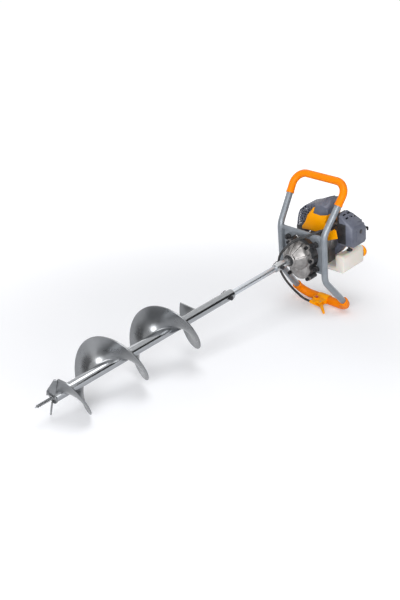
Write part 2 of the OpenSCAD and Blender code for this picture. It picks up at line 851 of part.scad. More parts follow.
module mounting_bolts() {
    color(black) lie() {
        for (p = gearbox_bolt_places) translate([0, p.x, p.y]) gearbox_bolt();
        damper_places() damper_bolt();
    }
}

// Socket-head bolt through the case, its cover and the clutch housing
module gearbox_bolt() {
    head_t = 9;
    seat_x = split_x - flange_t;
    rod_x(seat_x, cover_t + clutch_flange_t, gearbox_bolt_r);
    difference() {
        rod_x(seat_x - head_t, seat_x, gearbox_bolt_r + 2.5);
        rod_x(seat_x - head_t - cut_over, seat_x - 4, gearbox_bolt_r - 0.5, $fn = 6);
    }
}

// Flanged hexagon bolt through a rubber damper, and its nut behind the ear
module damper_bolt() {
    nut_x = ear_x + ear_t;
    nut_t = 6.5;
    rod_x(damper_x0 - 2, nut_x + nut_t + 1.5, damper_bolt_r);
    rod_x(damper_x0 - 2, damper_x0, damper_d / 2 - 3);
    rod_x(damper_x0 - 7, damper_x0 - 2 + cut_over, damper_bolt_r + 2.5, $fn = 6);
    difference() {
        rod_x(nut_x, nut_x + nut_t, damper_bolt_r + 3, $fn = 6);
        rod_x(nut_x - cut_over, nut_x + nut_t + cut_over, damper_bolt_r + seat_clear);
    }
}

// Engine

module damper_places() {
    for (y = [-1, 1], z = [-1, 1]) translate([0, y * damper_gap_y / 2, z * damper_gap_z / 2]) children();
}

module clutch_housing() {
    rib_h = 4;
    color(black) lie() difference() {
        union() {
            gearbox_flange(clutch_x, clutch_x + clutch_flange_t);
            translate([0, 0, crank_z]) {
                lathe_x([
                    [0, clutch_x], [clutch_housing_r, clutch_x], [clutch_housing_r, drum_x0 + drum_len + 8],
                    [crankcase_r, case_x0 - 8], [crankcase_r + 6, case_x0 - 6], [crankcase_r + 6, case_x0],
                    [0, case_x0]
                ]);
                for (turn = [0 : 20 : 340]) rotate([turn, 0, 0])
                    block(
                        [clutch_x + 2, -1.5, crankcase_r - 4],
                        [case_x0 - 8, 1.5, clutch_housing_r + rib_h]
                    );
            }
            damper_places() rod_x(ear_x, ear_x + ear_t, damper_d / 2);
            for (y = [-1, 1], z = [-1, 1])
                slab_x(ear_x, ear_x + ear_t)
                    polygon([
                        [y * 26, z * 26], [y * (damper_gap_y / 2 - 11), z * (damper_gap_z / 2)],
                        [y * damper_gap_y / 2, z * (damper_gap_z / 2 - 11)], [y * 36, z * 8]
                    ]);
        }
        translate([0, 0, crank_z]) {
            rod_x(clutch_x - cut_over, case_x0 - 14, drum_r + 2);
            rod_x(case_x0 - 15, case_x0 + cut_over, crank_shaft_r + 6);
        }
        damper_places() rod_x(ear_x - cut_over, ear_x + ear_t + cut_over, damper_bolt_r + seat_clear);
        for (p = gearbox_bolt_places)
            translate([0, p.x, p.y])
                rod_x(0, clutch_x + clutch_flange_t + cut_over, gearbox_bolt_r + seat_clear);
    }
}

module clutch_shoes() {
    hub_x0 = drum_x0 + 6;
    hub_x1 = drum_x0 + drum_len;
    color(dark_steel) lie() translate([0, 0, crank_z]) difference() {
        rod_x(hub_x0, hub_x1, shoe_r);
        rod_x(hub_x0 - cut_over, hub_x1 + cut_over, crank_shaft_r + seat_clear);
        for (turn = [0, 180]) rotate([turn, 0, 0]) {
            block([hub_x0 - cut_over, 14, -1.5], [hub_x1 + cut_over, shoe_r + 2, 1.5]);
            translate([0, 24, 0]) rod_x(hub_x0 - cut_over, hub_x1 + cut_over, 6);
        }
    }
}

module crankcase_outline() {
    union() {
        translate([0, crank_z]) circle(r = crankcase_r);
        translate([-crankcase_r, crank_z]) square([2 * crankcase_r, deck_z - crank_z]);
        for (y = [-1, 1])
            translate([y * tank_foot_y - tank_foot_w / 2, tank_low_top])
                square([tank_foot_w, crank_z - tank_low_top]);
    }
}

// One half of the split crankcase, with its bearing seat in the outer wall
module crankcase_half_shell(x0, x1, wall_x, spigot_x) {
    difference() {
        slab_x(x0, x1) crankcase_outline();
        translate([0, 0, crank_z]) {
            rod_x(min(wall_x, spigot_x), max(wall_x, spigot_x), web_r + 5);
            rod_x(x0 - cut_over, x1 + cut_over, crank_shaft_r + 3);
            for (x = [case_x0 + 6, case_x1 - 6 - crank_bearing_t])
                rod_x(x, x + crank_bearing_t, crank_bearing_r + seat_clear);
        }
        translate([cylinder_x, 0, 0]) rod_z(crank_z, deck_z + cut_over, barrel_r + seat_clear);
    }
}

module crankcase_front() {
    color(cast_alloy) lie()
        crankcase_half_shell(case_x0, cylinder_x, case_x0 + 6 + crank_bearing_t, cylinder_x + cut_over);
}

module crankcase_rear() {
    color(cast_alloy) lie()
        crankcase_half_shell(cylinder_x, case_x1, cylinder_x - cut_over, case_x1 - 6 - crank_bearing_t);
}

module crankshaft() {
    web_x0 = cylinder_x - web_gap / 2 - web_t;
    web_x1 = cylinder_x + web_gap / 2 + web_t;
    color(steel) lie() translate([0, 0, crank_z]) {
        difference() {
            union() {
                rod_x(drum_x0 + 6, web_x0 + cut_over, crank_shaft_r);
                rod_x(web_x1 - cut_over, flywheel_x1 + 2, crank_shaft_r);
                rod_x(web_x0, web_x0 + web_t, web_r);
                rod_x(web_x1 - web_t, web_x1, web_r);
            }
            for (y = [-1, 1])
                block([web_x0 - cut_over, y > 0 ? 17 : -40, -4], [web_x1 + cut_over, y > 0 ? 40 : -17, 40]);
        }
    }
}

// The rod keeps the crank pin, whose ends stop short of the crank's webs
module connecting_rod() {
    half_t = web_gap / 2 - 1;
    half_pin = web_gap / 2 - 0.3;
    pin_z = crank_z + stroke / 2;
    color(steel) lie() translate([cylinder_x, 0, 0]) difference() {
        union() {
            translate([0, 0, pin_z]) {
                rod_x(-half_t, half_t, crank_pin_r + 5);
                rod_x(-half_pin, half_pin, crank_pin_r);
            }
            translate([0, 0, piston_pin_z]) rod_x(-half_t, half_t, wrist_r + 4);
            block([-3, -6, pin_z + 6], [3, 6, piston_pin_z - wrist_r]);
        }
        translate([0, 0, piston_pin_z]) rod_x(-web_gap, web_gap, wrist_r + seat_clear);
    }
}

module piston() {
    z0 = piston_pin_z - piston_skirt;
    z1 = piston_pin_z + piston_crown;
    piston_r = bore_r - run_clear;
    color(steel) lie() {
        translate([cylinder_x, 0, 0]) difference() {
            rod_z(z0, z1, piston_r);
            rod_z(z0 - cut_over, z1 - 6, piston_r - 4);
            translate([0, 0, piston_pin_z])
                rod_x(-bore_r - cut_over, bore_r + cut_over, wrist_r + seat_clear);
            for (z = [z1 - 5, z1 - 9]) difference() {
                rod_z(z, z + 1.5, bore_r + cut_over);
                rod_z(z - cut_over, z + 3, piston_r - 2);
            }
        }
        translate([cylinder_x, 0, piston_pin_z]) difference() {
            rod_x(-bore_r + 2, bore_r - 2, wrist_r);
            rod_x(-bore_r, bore_r, 3);
        }
    }
}

// Room for a fin inside the shroud's slanted wall, at the height of its top face
function fin_room(z) = lookup(z, [for (i = [1 : 3]) [shroud_outline[i].y, shroud_outline[i].x]]) - 5;

module cylinder_barrel() {
    color(cast_alloy) lie() translate([cylinder_x, 0, 0]) difference() {
        union() {
            rod_z(deck_z - 8, cylinder_top, barrel_r);
            block([-30, -30, deck_z + seat_clear], [30, 30, deck_z + 6]);
            for (i = [0 : fin_count - 1])
                let (z = deck_z + 14 + i * (cylinder_top - deck_z - 16) / (fin_count - 1))
                block([-fin_x, -fin_y, z], [fin_x, min(fin_y, fin_room(z + fin_t)), z + fin_t]);
            block([-16, barrel_r - 6, exhaust_z - 14], [16, fin_y + 2, exhaust_z + 14]);
            block([-16, -fin_y - 2, intake_z - 14], [16, -barrel_r + 6, intake_z + 14]);
        }
        rod_z(deck_z - 8 - cut_over, head_z, bore_r);
        translate([0, 0, exhaust_z - 8]) rod_y(0, fin_y + 4, 9);
        translate([0, 0, intake_z - 8]) rod_y(-fin_y - 4, 0, 9);
        plug_axis() {
            rod_z(-20, 40, plug_r + seat_clear);
            rod_z(4 - seat_clear, 40, plug_r + 5);
        }
    }
}

// The spark plug leans to the air filter side from the crown of the cylinder
module plug_axis() {
    translate([0, -8, cylinder_top]) rotate([plug_lean, 0, 0]) children();
}

module spark_plug() {
    color(porcelain) lie() translate([cylinder_x, 0, 0]) plug_axis() {
        rod_z(-12, 4 + cut_over, plug_r);
        rod_z(4, 12, plug_r + 4, $fn = 6);
        rod_z(12, 17, 6.5);
        lathe_plug();
    }
}

module lathe_plug() {
    rotate_extrude() polygon([[0, 16], [5, 16], [4.6, 26], [3.6, 34], [0, 34]]);
}

module plug_boot() {
    color(black) lie() {
        translate([cylinder_x, 0, 0]) plug_axis() difference() {
            rotate_extrude() polygon([[0, 22], [8, 22], [8.5, 25], [7.5, 40], [0, 44]]);
            rod_z(20, 35, 5.2);
        }
        translate([cylinder_x, 0, 0]) plug_axis() translate([0, 0, 38]) rod_x(0, 16, 4);
    }
}

module flywheel() {
    blades = 16;
    color(cast_alloy) lie() translate([0, 0, crank_z]) difference() {
        union() {
            rod_x(flywheel_x0, flywheel_x0 + 7, flywheel_r);
            rod_x(flywheel_x0, flywheel_x1, 17);
            for (i = [0 : blades - 1]) rotate([i * 360 / blades, 0, 0])
                block([flywheel_x0 + 5, -1.2, 24], [flywheel_x1, 1.2, flywheel_r - 1]);
        }
        rod_x(flywheel_x0 - cut_over, flywheel_x1 + cut_over, crank_shaft_r + seat_clear);
    }
}

module fan_housing() {
    color(slate) lie() translate([0, 0, crank_z]) difference() {
        rod_x(case_x1, fan_x1, fan_r + 4);
        rod_x(case_x1 + 3, fan_x1 + cut_over, fan_r);
        rod_x(case_x1 - cut_over, case_x1 + 4, 24);
        block([case_x1 + 3, -34, 30], [fan_x1 + cut_over, 34, fan_r + 10]);
    }
}

module ignition_coil() {
    z0 = crank_z + flywheel_r + 1;
    color(black) lie() {
        block([flywheel_x0 + 1, -13, z0], [flywheel_x0 + 13, 13, z0 + 16]);
        block([case_x1 + 3.05, -8, z0 + 1], [flywheel_x0 + 2, 8, z0 + 8]);
        translate([flywheel_x0 + 7, -6, z0 + 15]) rod_z(0, 9, 4.5);
    }
}

// Covers

module hollow_slab(x0, x1, outline) {
    difference() {
        slab_x(x0, x1) polygon(outline);
        slab_x(x0 + cover_wall, x1 + cut_over) offset(delta = -cover_wall) polygon(outline);
    }
}

module engine_shroud() {
    back_x = shroud_x + shroud_len + cut_over;
    panel_x = shroud_x + cover_wall;
    color(orange) lie() {
        difference() {
            union() {
                hollow_slab(shroud_x, shroud_x + shroud_len, shroud_outline);
                slab_x(shroud_x, panel_x) polygon(flap_outline);
            }
            block([panel_x, -70, 50], [back_x, 60, 78]);
            block([panel_x, -12, 124], [back_x, 30, 160]);
            block([cylinder_x - 24, 18, 60], [cylinder_x + 24, 60, exhaust_z + 22]);
            block([cylinder_x - 24, -70, 60], [cylinder_x + 24, -36, intake_z + 20]);
            block([cylinder_x - 14, -58, 118], [cylinder_x + 20, 14, 140]);
        }
        for (y = [-20, 20])
            translate([0, y, standoff_z])
                rod_x(shroud_x + 1, cylinder_x - fin_x - seat_clear, standoff_r);
    }
}

// Thin slice of the top cover, for the hull through its three outlines
module top_slice(x, outline, shrink) {
    slab_x(x, x + 0.5) offset(delta = -shrink) polygon(outline);
}

module top_shell(x0, x1, shrink) {
    hull() {
        top_slice(x0, top_front, shrink);
        top_slice(top_middle_x, top_middle, shrink);
        top_slice(x1, top_back, shrink);
    }
}

module top_cover() {
    x0 = shroud_x;
    x1 = shroud_x + shroud_len;
    rib_w = 5;
    proud = 2.5;
    // Place across the cover, and heights at its front, middle and back
    ribs = [[-52.5, 167, 185.5, 177.5], [-38.5, 168, 185, 177], [-24.5, 165.5, 178.5, 171.5]];
    color(slate) lie() difference() {
        union() {
            top_shell(x0, x1 - 0.5, 0);
            for (r = ribs)
                slab_y(r[0], r[0] + rib_w)
                    polygon([
                        [x0 + 3, r[1] - proud], [x0 + 3, r[1] + proud], [top_middle_x, r[2] + proud],
                        [x1 - 3, r[3] + proud], [x1 - 3, r[3] - proud], [top_middle_x, r[2] - proud]
                    ]);
        }
        top_shell(x0 + cover_wall, x1 + cut_over, cover_wall);
        block([cylinder_x - 18, -60, 120], [cylinder_x + 24, -4, 140]);
    }
}

module muffler() {
    color(dark_steel) lie() {
        difference() {
            union() {
                block([muffler_x0, muffler_y0, muffler_z0], [muffler_x1, muffler_y1, muffler_z1]);
                block(
                    [cylinder_x - 15, fin_y + 2.2, exhaust_z - 13],
                    [cylinder_x + 15, muffler_y0 + cut_over, exhaust_z + 13]
                );
                translate([0, tail_y, tail_z])
                    rod_x(muffler_x1 - cut_over, muffler_x1 + tail_len, tail_r + 1.5);
            }
            block(
                [muffler_x0 + sheet_t, muffler_y0 + sheet_t, muffler_z0 + sheet_t],
                [muffler_x1 - sheet_t, muffler_y1 - sheet_t, muffler_z1 - sheet_t]
            );
            translate([cylinder_x, 0, exhaust_z - 4]) rod_y(fin_y, muffler_y0 + sheet_t + cut_over, 9);
            translate([0, tail_y, tail_z])
                rod_x(muffler_x1 - sheet_t - cut_over, muffler_x1 + tail_len + cut_over, tail_r);
        }
    }
}

// Reach of the guard across the machine at a height, read from one of its edges
function edge_at(edge, z) = lookup(z, [for (p = edge) [p.y, p.x]]);

module muffler_guard() {
    rim = 7;
    low = 52;
    through = guard_sheet + cut_over;
    columns = floor((guard_x1 - guard_x0 - 14) / guard_pitch);
    color(slate) lie() {
        difference() {
            slab_x(guard_x0, guard_x1) polygon(concat(guard_outer, guard_inner));
            slab_x(guard_x0 + guard_sheet, guard_x1 + cut_over)
                offset(delta = -guard_sheet)
                    polygon(concat(guard_outer, [for (p = guard_inner) p - [8, 0]]));
            for (row = [0 : 8])
                let (
                    z = low + row * guard_pitch,
                    y0 = edge_at(guard_inner, z) + rim,
                    y1 = edge_at(guard_outer, z) - rim,
                    gaps = max(1, floor((y1 - y0) / guard_pitch))
                ) {
                    for (k = [0 : gaps])
                        translate([0, y0 + (y1 - y0) * k / gaps, z])
                            rod_x(guard_x0 - cut_over, guard_x0 + through, guard_hole_r, $fn = 16);
                    if (row < 6)
                        for (k = [0 : columns])
                            translate([guard_x0 + 10 + k * guard_pitch, 0, z])
                                rod_y(y1 + rim - 6, y1 + rim + 4, guard_hole_r, $fn = 16);
                }
        }
        for (z = [64, 94])
            translate([0, tail_y, z]) rod_x(guard_x0 + 1, muffler_x0 - seat_clear, standoff_r);
    }
}

module intake_insulator() {
    color(black) lie() translate([cylinder_x, 0, intake_z - 8]) difference() {
        block([-15, insulator_y, -6], [15, -fin_y - 2.2, 22]);
        rod_y(insulator_y - cut_over, -fin_y, 9);
    }
}

module carburettor() {
    color(cast_alloy) lie() {
        difference() {
            union() {
                block(
                    [cylinder_x - carb_half, carb_y, intake_z - carb_half],
                    [cylinder_x + carb_half, insulator_y - 0.1, intake_z + carb_half - 8]
                );
                translate([cylinder_x, carb_y + carb_len / 2, 0]) rod_z(intake_z, intake_z + carb_half, 9);
                block(
                    [carb_stop_x, -90, intake_z + 2],
                    [cylinder_x - carb_half + cut_over, -74, intake_z + 6]
                );
                block([carb_stop_x, -90, intake_z + 2], [carb_stop_x + 3, -74, intake_z + 20]);
            }
            translate([cylinder_x, 0, intake_z - 8]) rod_y(carb_y - cut_over, insulator_y + cut_over, 8);
            translate([cylinder_x, carb_y + carb_len / 2, 0])
                rod_z(intake_z - 2, intake_z + carb_half + cut_over, throttle_spindle_r + run_clear);
        }
    }
}

module throttle_arm() {
    color(steel) lie() translate([cylinder_x, carb_y + carb_len / 2, intake_z + carb_half]) {
        rod_z(-12, 4, throttle_spindle_r);
        rod_z(move_clear, 3, 6);
        block([-2.5, 0, move_clear], [2.5, 13, 3]);
    }
}

// Outline of the filter cover in shares of its width and height
module filter_outline(shares, shrink) {
    offset(delta = -shrink)
        polygon([for (p = shares) [filter_x0 + p.x * filter_w, filter_z0 + p.y * filter_h]]);
}

module filter_slice(y, shares, shrink) {
    translate([0, y, 0]) slab_y(0, 0.5) filter_outline(shares, shrink);
}

module filter_body(shrink) {
    hull() {
        filter_slice(filter_y0 - 0.5 + (shrink > 0 ? 1 : 0), filter_back, shrink);
        filter_slice(filter_y0 - filter_depth * 0.55, filter_middle, shrink);
        filter_slice(filter_y1 + shrink, filter_front, shrink);
    }
}

module filter_base() {
    color(black) lie() difference() {
        translate([0, filter_y0 + 0.2, 0]) {
            slab_y(0, filter_base_t - 0.4) filter_outline(filter_back, 3);
            slab_y(0, filter_base_t - 0.4) {
                translate([choke_x, choke_z]) circle(r = 8);
                translate([choke_x - 14, choke_z - 8]) square([14, 16]);
            }
        }
        translate([cylinder_x, 0, intake_z - 8]) rod_y(filter_y0 - cut_over, carb_y + cut_over, 8);
        translate([choke_x, 0, choke_z]) rod_y(filter_y0 - cut_over, carb_y + cut_over, choke_r + run_clear);
    }
}

module filter_element() {
    color(foam) lie() translate([0, filter_y0 - 22, 0]) slab_y(0, 21.5)
        polygon([
            [filter_x0 + 14, filter_z0 + 14], [filter_x0 + filter_w - 14, filter_z0 + 14],
            [filter_x0 + filter_w - 14, filter_z0 + filter_h - 48],
            [filter_x0 + 14, filter_z0 + filter_h - 48]
        ]);
}

module filter_cover() {
    slot_len = 16;
    slot_w = 5;
    slot_pitch = 23;
    color(slate) lie() difference() {
        filter_body(0);
        filter_body(cover_wall);
        translate([filter_screw_x, 0, filter_screw_z])
            rod_y(filter_y1 - cut_over, filter_y1 + 6, 5 + seat_clear);
        for (i = [0 : 2], y = [filter_y0 - 6, filter_y0 - 18])
            translate([filter_x0 + 12 + i * slot_pitch, y, filter_z0])
                block([0, -slot_w, 0.6 * filter_h], [slot_len, 0, filter_h + cut_over]);
    }
}

module filter_screw() {
    color(black) lie() translate([filter_screw_x, 0, filter_screw_z]) {
        rod_y(filter_y1 - filter_screw_head, filter_y1 + 4, 5);
        rod_y(filter_y1 + 3, filter_y0 - 22.2, 2.5);
    }
}

// Lever behind the base, with a finger that reaches forward beside the cover
module choke_lever() {
    reach = 20;
    color(dark_steel) lie() translate([choke_x, 0, choke_z]) {
        rod_y(filter_y0 + 2, carb_y + 4, choke_r);
        translate([0, carb_y + move_clear, 0])
            slab_y(0, 3) polygon([[-5, -5], [5, -5], [reach, -3], [reach, 4], [5, 5], [-5, 5]]);
        block([reach - 6, filter_y1 + 8, -3], [reach, carb_y + move_clear + 3, 4]);
        block([reach - 6, filter_y1 + 8, -9], [reach, filter_y1 + 12, 0]);
    }
}

// Fuel

module tank_outline(w) {
    polygon([
        [tank_y0 + w, tank_bottom + w + 8], [tank_y0 + w + 8, tank_bottom + w],
        [tank_y1 - w - 8, tank_bottom + w],
        [tank_y1 - w, tank_low_top - w - 6], [tank_y1 - w - 4, tank_low_top - w],
        [tank_step_y - w + 4, tank_low_top - w], [tank_step_y - w, tank_low_top - w + 4],
        [tank_step_y - w, tank_top - w - 8], [tank_step_y - w - 8, tank_top - w],
        [tank_y0 + w + 8, tank_top - w], [tank_y0 + w, tank_top - w - 8]
    ]);
}

module fuel_tank() {
    color(tank_white) lie() difference() {
        union() {
            slab_x(tank_x0, tank_x1) tank_outline(0);
            translate([0, cap_y, cap_z]) rod_x(tank_x1 - cut_over, tank_x1 + neck_len, neck_r);
        }
        slab_x(tank_x0 + tank_wall, tank_x1 - tank_wall) tank_outline(tank_wall);
        translate([0, cap_y, cap_z])
            rod_x(tank_x1 - tank_wall - cut_over, tank_x1 + neck_len + cut_over, neck_r - tank_wall);
        translate([tank_x0 + 57, -94, 0])
            rod_z(tank_top - tank_wall - cut_over, tank_top + cut_over, 9 + seat_clear);
    }
}

module fuel_cap() {
    cap_r = cap_d / 2;
    grips = 18;
    color(orange) lie() translate([0, cap_y, cap_z]) difference() {
        union() {
            rod_x(tank_x1 + move_clear, tank_x1 + cap_reach, cap_r - 1.5);
            for (i = [0 : grips - 1]) rotate([i * 360 / grips, 0, 0])
                translate([0, cap_r - 2, 0]) rod_x(tank_x1 + move_clear + 1, tank_x1 + cap_reach - 2, 2);
        }
        rod_x(tank_x1, tank_x1 + neck_len + move_clear, neck_r + move_clear);
    }
}

module fuel_lines() {
    color(black) lie() {
        translate([tank_x0 + 57, -94, 0]) {
            rod_z(tank_top - tank_wall, tank_top, 9);
            rod_z(tank_top + 0.01, tank_top + 4, 11);
        }
        cord(hose_route, hose_d, [1, 0, 0], 8, 3);
        cord(return_route, hose_d, [1, 0, 0], 8, 3);
    }
}

// Recoil starter

module starter_housing() {
    slots = 12;
    outlet_z = starter_r + 2;
    color(orange) lie() translate([0, 0, crank_z]) difference() {
        union() {
            lathe_x([
                [0, fan_x1], [fan_r + 4, fan_x1], [fan_r + 4, fan_x1 + 4], [starter_r, fan_x1 + 8],
                [starter_r, starter_x1 - 8], [starter_r - 8, starter_x1], [0, starter_x1]
            ]);
            translate([pulley_x + pulley_t / 2, rope_r, 0]) rod_z(starter_r - 14, outlet_z, 9);
        }
        difference() {
            union() {
                rod_x(fan_x1 - cut_over, starter_x1 - 10, starter_r - 4);
                rod_x(fan_x1 - cut_over, starter_x1 - 3, starter_r - 13);
            }
            rod_x(pulley_x - 2, starter_x1, post_r);
        }
        translate([pulley_x + pulley_t / 2, rope_r, 0]) rod_z(20, outlet_z + cut_over, 3.5);
        for (i = [0 : slots - 1]) rotate([i * 360 / slots, 0, 0])
            block([starter_x1 - 6, -3, 18], [starter_x1 + cut_over, 3, starter_r - 16]);
    }
}

module starter_pulley() {
    color(black) lie() translate([0, 0, crank_z]) difference() {
        lathe_x([
            [0, pulley_x], [rope_r + 5, pulley_x], [rope_r + 5, pulley_x + 2], [rope_r - 3, pulley_x + 4],
            [rope_r - 3, pulley_x + pulley_t - 4], [rope_r + 5, pulley_x + pulley_t - 2],
            [rope_r + 5, pulley_x + pulley_t], [0, pulley_x + pulley_t]
        ]);
        rod_x(pulley_x - cut_over, pulley_x + pulley_t + cut_over, post_r + run_clear);
    }
}

module starter_rope() {
    color(black) lie() translate([pulley_x + pulley_t / 2, rope_r, crank_z])
        rod_z(2, starter_r + 4, 2);
}

module starter_handle() {
    z0 = starter_r + 2 + move_clear;
    color(black) lie() translate([pulley_x + pulley_t / 2, rope_r, crank_z]) difference() {
        union() {
            rod_z(z0, z0 + 16, 8);
            hull() for (x = [-30, 30]) translate([x, 0, z0 + 20]) sphere(r = 8.5, $fn = 32);
        }
        rod_z(z0 - cut_over, z0 + 4, 2 + seat_clear);
    }
}

// Frame

function hoop_points(up) = [
    [0, leg_y, 0], [0, leg_y, up * elbow_z], [grip_back, grip_y, up * grip_z],
    [grip_back, -grip_y, up * grip_z], [0, -leg_y, up * elbow_z], [0, -leg_y, 0]
];
function hoop_normal(up) = [1, 0, -up * 0.4];

module upper_hoop() {
    color(frame_grey) lie()
        bent_pipe(hoop_points(1), hoop_bends, hoop_normal(1), frame_tube_r, frame_tube_r - frame_tube_wall);
}

module lower_hoop() {
    color(frame_grey) lie()
        bent_pipe(hoop_points(-1), hoop_bends, hoop_normal(-1), frame_tube_r, frame_tube_r - frame_tube_wall);
}

// Sleeve path: the grip bar and a stretch of each leaning leg
function sleeve_points(up, leg) =
    let (p = hoop_points(up))
    [p[2] + unit(p[1] - p[2]) * leg, p[2], p[3], p[3] + unit(p[4] - p[3]) * leg];

module upper_grip() {
    p = sleeve_points(1, upper_sleeve_leg);
    bends = [0, corner_r, corner_r, 0];
    color(orange) lie()
        bent_pipe(p, bends, hoop_normal(1), upper_sleeve_d / 2, frame_tube_r + seat_clear);
}

// The lower sleeve comes in two halves that end inside the throttle housing
module lower_grip() {
    p = sleeve_points(-1, lower_sleeve_leg);
    lap = 4;
    left_end = [grip_back, throttle_y1 - lap, -grip_z];
    right_end = [grip_back, throttle_y0 + lap, -grip_z];
    color(orange) lie()
        for (points = [[p[0], p[1], left_end], [right_end, p[2], p[3]]])
            bent_pipe(points, [0, corner_r, 0], hoop_normal(-1), lower_sleeve_r, frame_tube_r + seat_clear);
}

module crossbar() {
    color(frame_grey) lie() difference() {
        block([-4, -leg_y, crossbar_top - crossbar_h], [plate_x, leg_y, crossbar_top]);
        leg_seats();
    }
}

module mount_plate() {
    color(frame_grey) lie() difference() {
        block([plate_x, -plate_half_y, plate_low_z], [plate_x + plate_t, plate_half_y, plate_top]);
        rod_x(plate_x - cut_over, plate_x + plate_t + cut_over, plate_hole_r);
        block([plate_x - cut_over, -52, plate_low_z - cut_over], [plate_x + plate_t + cut_over, 52, 0]);
        leg_seats();
        damper_places() rod_x(plate_x - cut_over, plate_x + plate_t + cut_over, damper_bolt_r + 2);
    }
}

// Round seats where the plate and the crossbar meet the legs
module leg_seats() {
    for (y = [-leg_y, leg_y]) translate([0, y, 0]) rod_z(-elbow_z, elbow_z, frame_tube_r + weld_gap);
}

module dampers() {
    color(black) lie() damper_places() difference() {
        union() {
            rod_x(damper_x0, plate_x, damper_d / 2);
            rod_x(plate_x + plate_t, ear_x, damper_d / 2);
            rod_x(plate_x - cut_over, plate_x + plate_t + cut_over, damper_bolt_r + 1.9);
        }
        rod_x(damper_x0 - cut_over, ear_x + cut_over, damper_bolt_r + seat_clear);
    }
}

// Throttle

module throttle_housing() {
    ring_r = lower_sleeve_r + 3;
    color(orange) lie() difference() {
        union() {
            translate([grip_back, 0, -grip_z]) rod_y(throttle_y0, throttle_y1, ring_r);
            block([throttle_x0, throttle_y0, throttle_bottom], [grip_back, throttle_y1, throttle_top]);
            block(
                [switch_x - switch_half - switch_rim, switch_y - switch_run - switch_rim, throttle_bottom],
                [switch_x + switch_half + switch_rim, switch_y + switch_run + switch_rim, switch_floor + 4]
            );
            translate([throttle_x0 + 2, 0, cable_route[0].z])
                rod_y(throttle_y1 - 2, throttle_y1 + 2, cable_d / 2 + 2);
        }
        translate([grip_back, 0, -grip_z])
            rod_y(throttle_y0 - cut_over, throttle_y1 + cut_over, lower_sleeve_r + seat_clear);
        block(
            [throttle_x0 - 10, throttle_y0 - cut_over, -grip_z - 40],
            [grip_back + 40, throttle_y1 + 5, -grip_z - lower_sleeve_r + 6]
        );
        block(
            [throttle_x0 - cut_over, throttle_y0 - cut_over, trigger_z - trigger_t / 2 - move_clear],
            [trigger_x + 14, trigger_y + 15, trigger_z + trigger_t / 2 + move_clear]
        );
        translate([trigger_x, trigger_y, 0])
            rod_z(throttle_bottom - cut_over, throttle_top + cut_over, trigger_pin_d / 2 + seat_clear);
        block(
            [switch_x - switch_half - move_clear, switch_y - switch_run, switch_floor],
            [switch_x + switch_half + move_clear, switch_y + switch_run, switch_floor + 8]
        );
    }
}

module trigger_pin() {
    color(steel) lie() translate([trigger_x, trigger_y, 0])
        rod_z(throttle_bottom + 1, throttle_top - 1, trigger_pin_d / 2);
}

module throttle_trigger() {
    color(orange) lie()
        translate([trigger_x, trigger_y, trigger_z]) rotate([0, 0, -trigger_rest]) difference() {
            translate([0, 0, -trigger_t / 2]) linear_extrude(trigger_t)
                polygon([[-6, 7], [6, 7], [7, -6], [4, -trigger_len], [-4, -trigger_len], [-7, -6]]);
            rod_z(-trigger_t, trigger_t, trigger_pin_d / 2 + run_clear);
        }
}

module stop_switch() {
    slider_len = 8;
    color(red) lie() translate([switch_x, switch_y - 6, switch_floor])
        block([-switch_half, 0, 0.05], [switch_half, slider_len, 7]);
}

module throttle_cable() {
    color(black) lie() cord(cable_route, cable_d, [1, 1, 0], 10, 3);
}

pilot_point();
cutter_blade();
bit_flight();
bit_tube();
drive_pins();
extension_shaft();
output_shaft();
output_gear();
layshaft();
clutch_drum();
drive_pinion();
gearbox_case();
gearbox_cover();
output_seal();
ball_bearings();
mounting_bolts();
clutch_housing();
clutch_shoes();
crankcase_front();
crankcase_rear();
crankshaft();
connecting_rod();
piston();
cylinder_barrel();  // cylinder
spark_plug();
plug_boot();
flywheel();
fan_housing();
ignition_coil();
engine_shroud();
top_cover();
muffler();
muffler_guard();
intake_insulator();
carburettor();
throttle_arm();
filter_base();
filter_element();
filter_cover();
filter_screw();
choke_lever();
fuel_tank();
fuel_cap();
fuel_lines();
starter_housing();
starter_pulley();
starter_rope();
starter_handle();
upper_hoop();
lower_hoop();
upper_grip();
lower_grip();
crossbar();
mount_plate();
dampers();
throttle_housing();
throttle_trigger();
trigger_pin();
stop_switch();
throttle_cable();
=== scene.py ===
# %% [markdown]
# # A petrol earth auger, dressed for a studio picture
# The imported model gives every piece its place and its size. This file adds what a camera sees:
# rounded edges, smooth bends, weld beads, small plates and finishes. Each step says what the real piece is,
# how it could be made, and why it is made this way here.

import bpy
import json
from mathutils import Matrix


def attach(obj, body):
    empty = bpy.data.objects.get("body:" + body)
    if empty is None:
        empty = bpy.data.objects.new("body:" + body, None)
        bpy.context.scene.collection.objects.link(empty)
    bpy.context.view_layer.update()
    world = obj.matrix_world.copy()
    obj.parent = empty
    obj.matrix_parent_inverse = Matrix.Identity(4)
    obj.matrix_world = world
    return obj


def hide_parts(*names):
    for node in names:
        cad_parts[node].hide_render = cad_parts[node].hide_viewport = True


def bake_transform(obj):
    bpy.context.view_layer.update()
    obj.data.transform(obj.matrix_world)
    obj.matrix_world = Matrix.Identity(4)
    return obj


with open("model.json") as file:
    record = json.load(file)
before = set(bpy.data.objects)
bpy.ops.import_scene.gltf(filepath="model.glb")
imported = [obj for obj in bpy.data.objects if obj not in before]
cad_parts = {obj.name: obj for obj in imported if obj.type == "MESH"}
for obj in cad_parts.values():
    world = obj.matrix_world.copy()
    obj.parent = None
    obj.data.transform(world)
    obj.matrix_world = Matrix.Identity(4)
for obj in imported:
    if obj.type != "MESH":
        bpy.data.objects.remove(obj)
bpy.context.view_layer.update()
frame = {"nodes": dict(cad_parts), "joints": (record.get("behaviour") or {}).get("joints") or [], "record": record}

import json
import math

import bmesh
import bpy
from mathutils import Matrix, Vector
from mathutils.bvhtree import BVHTree

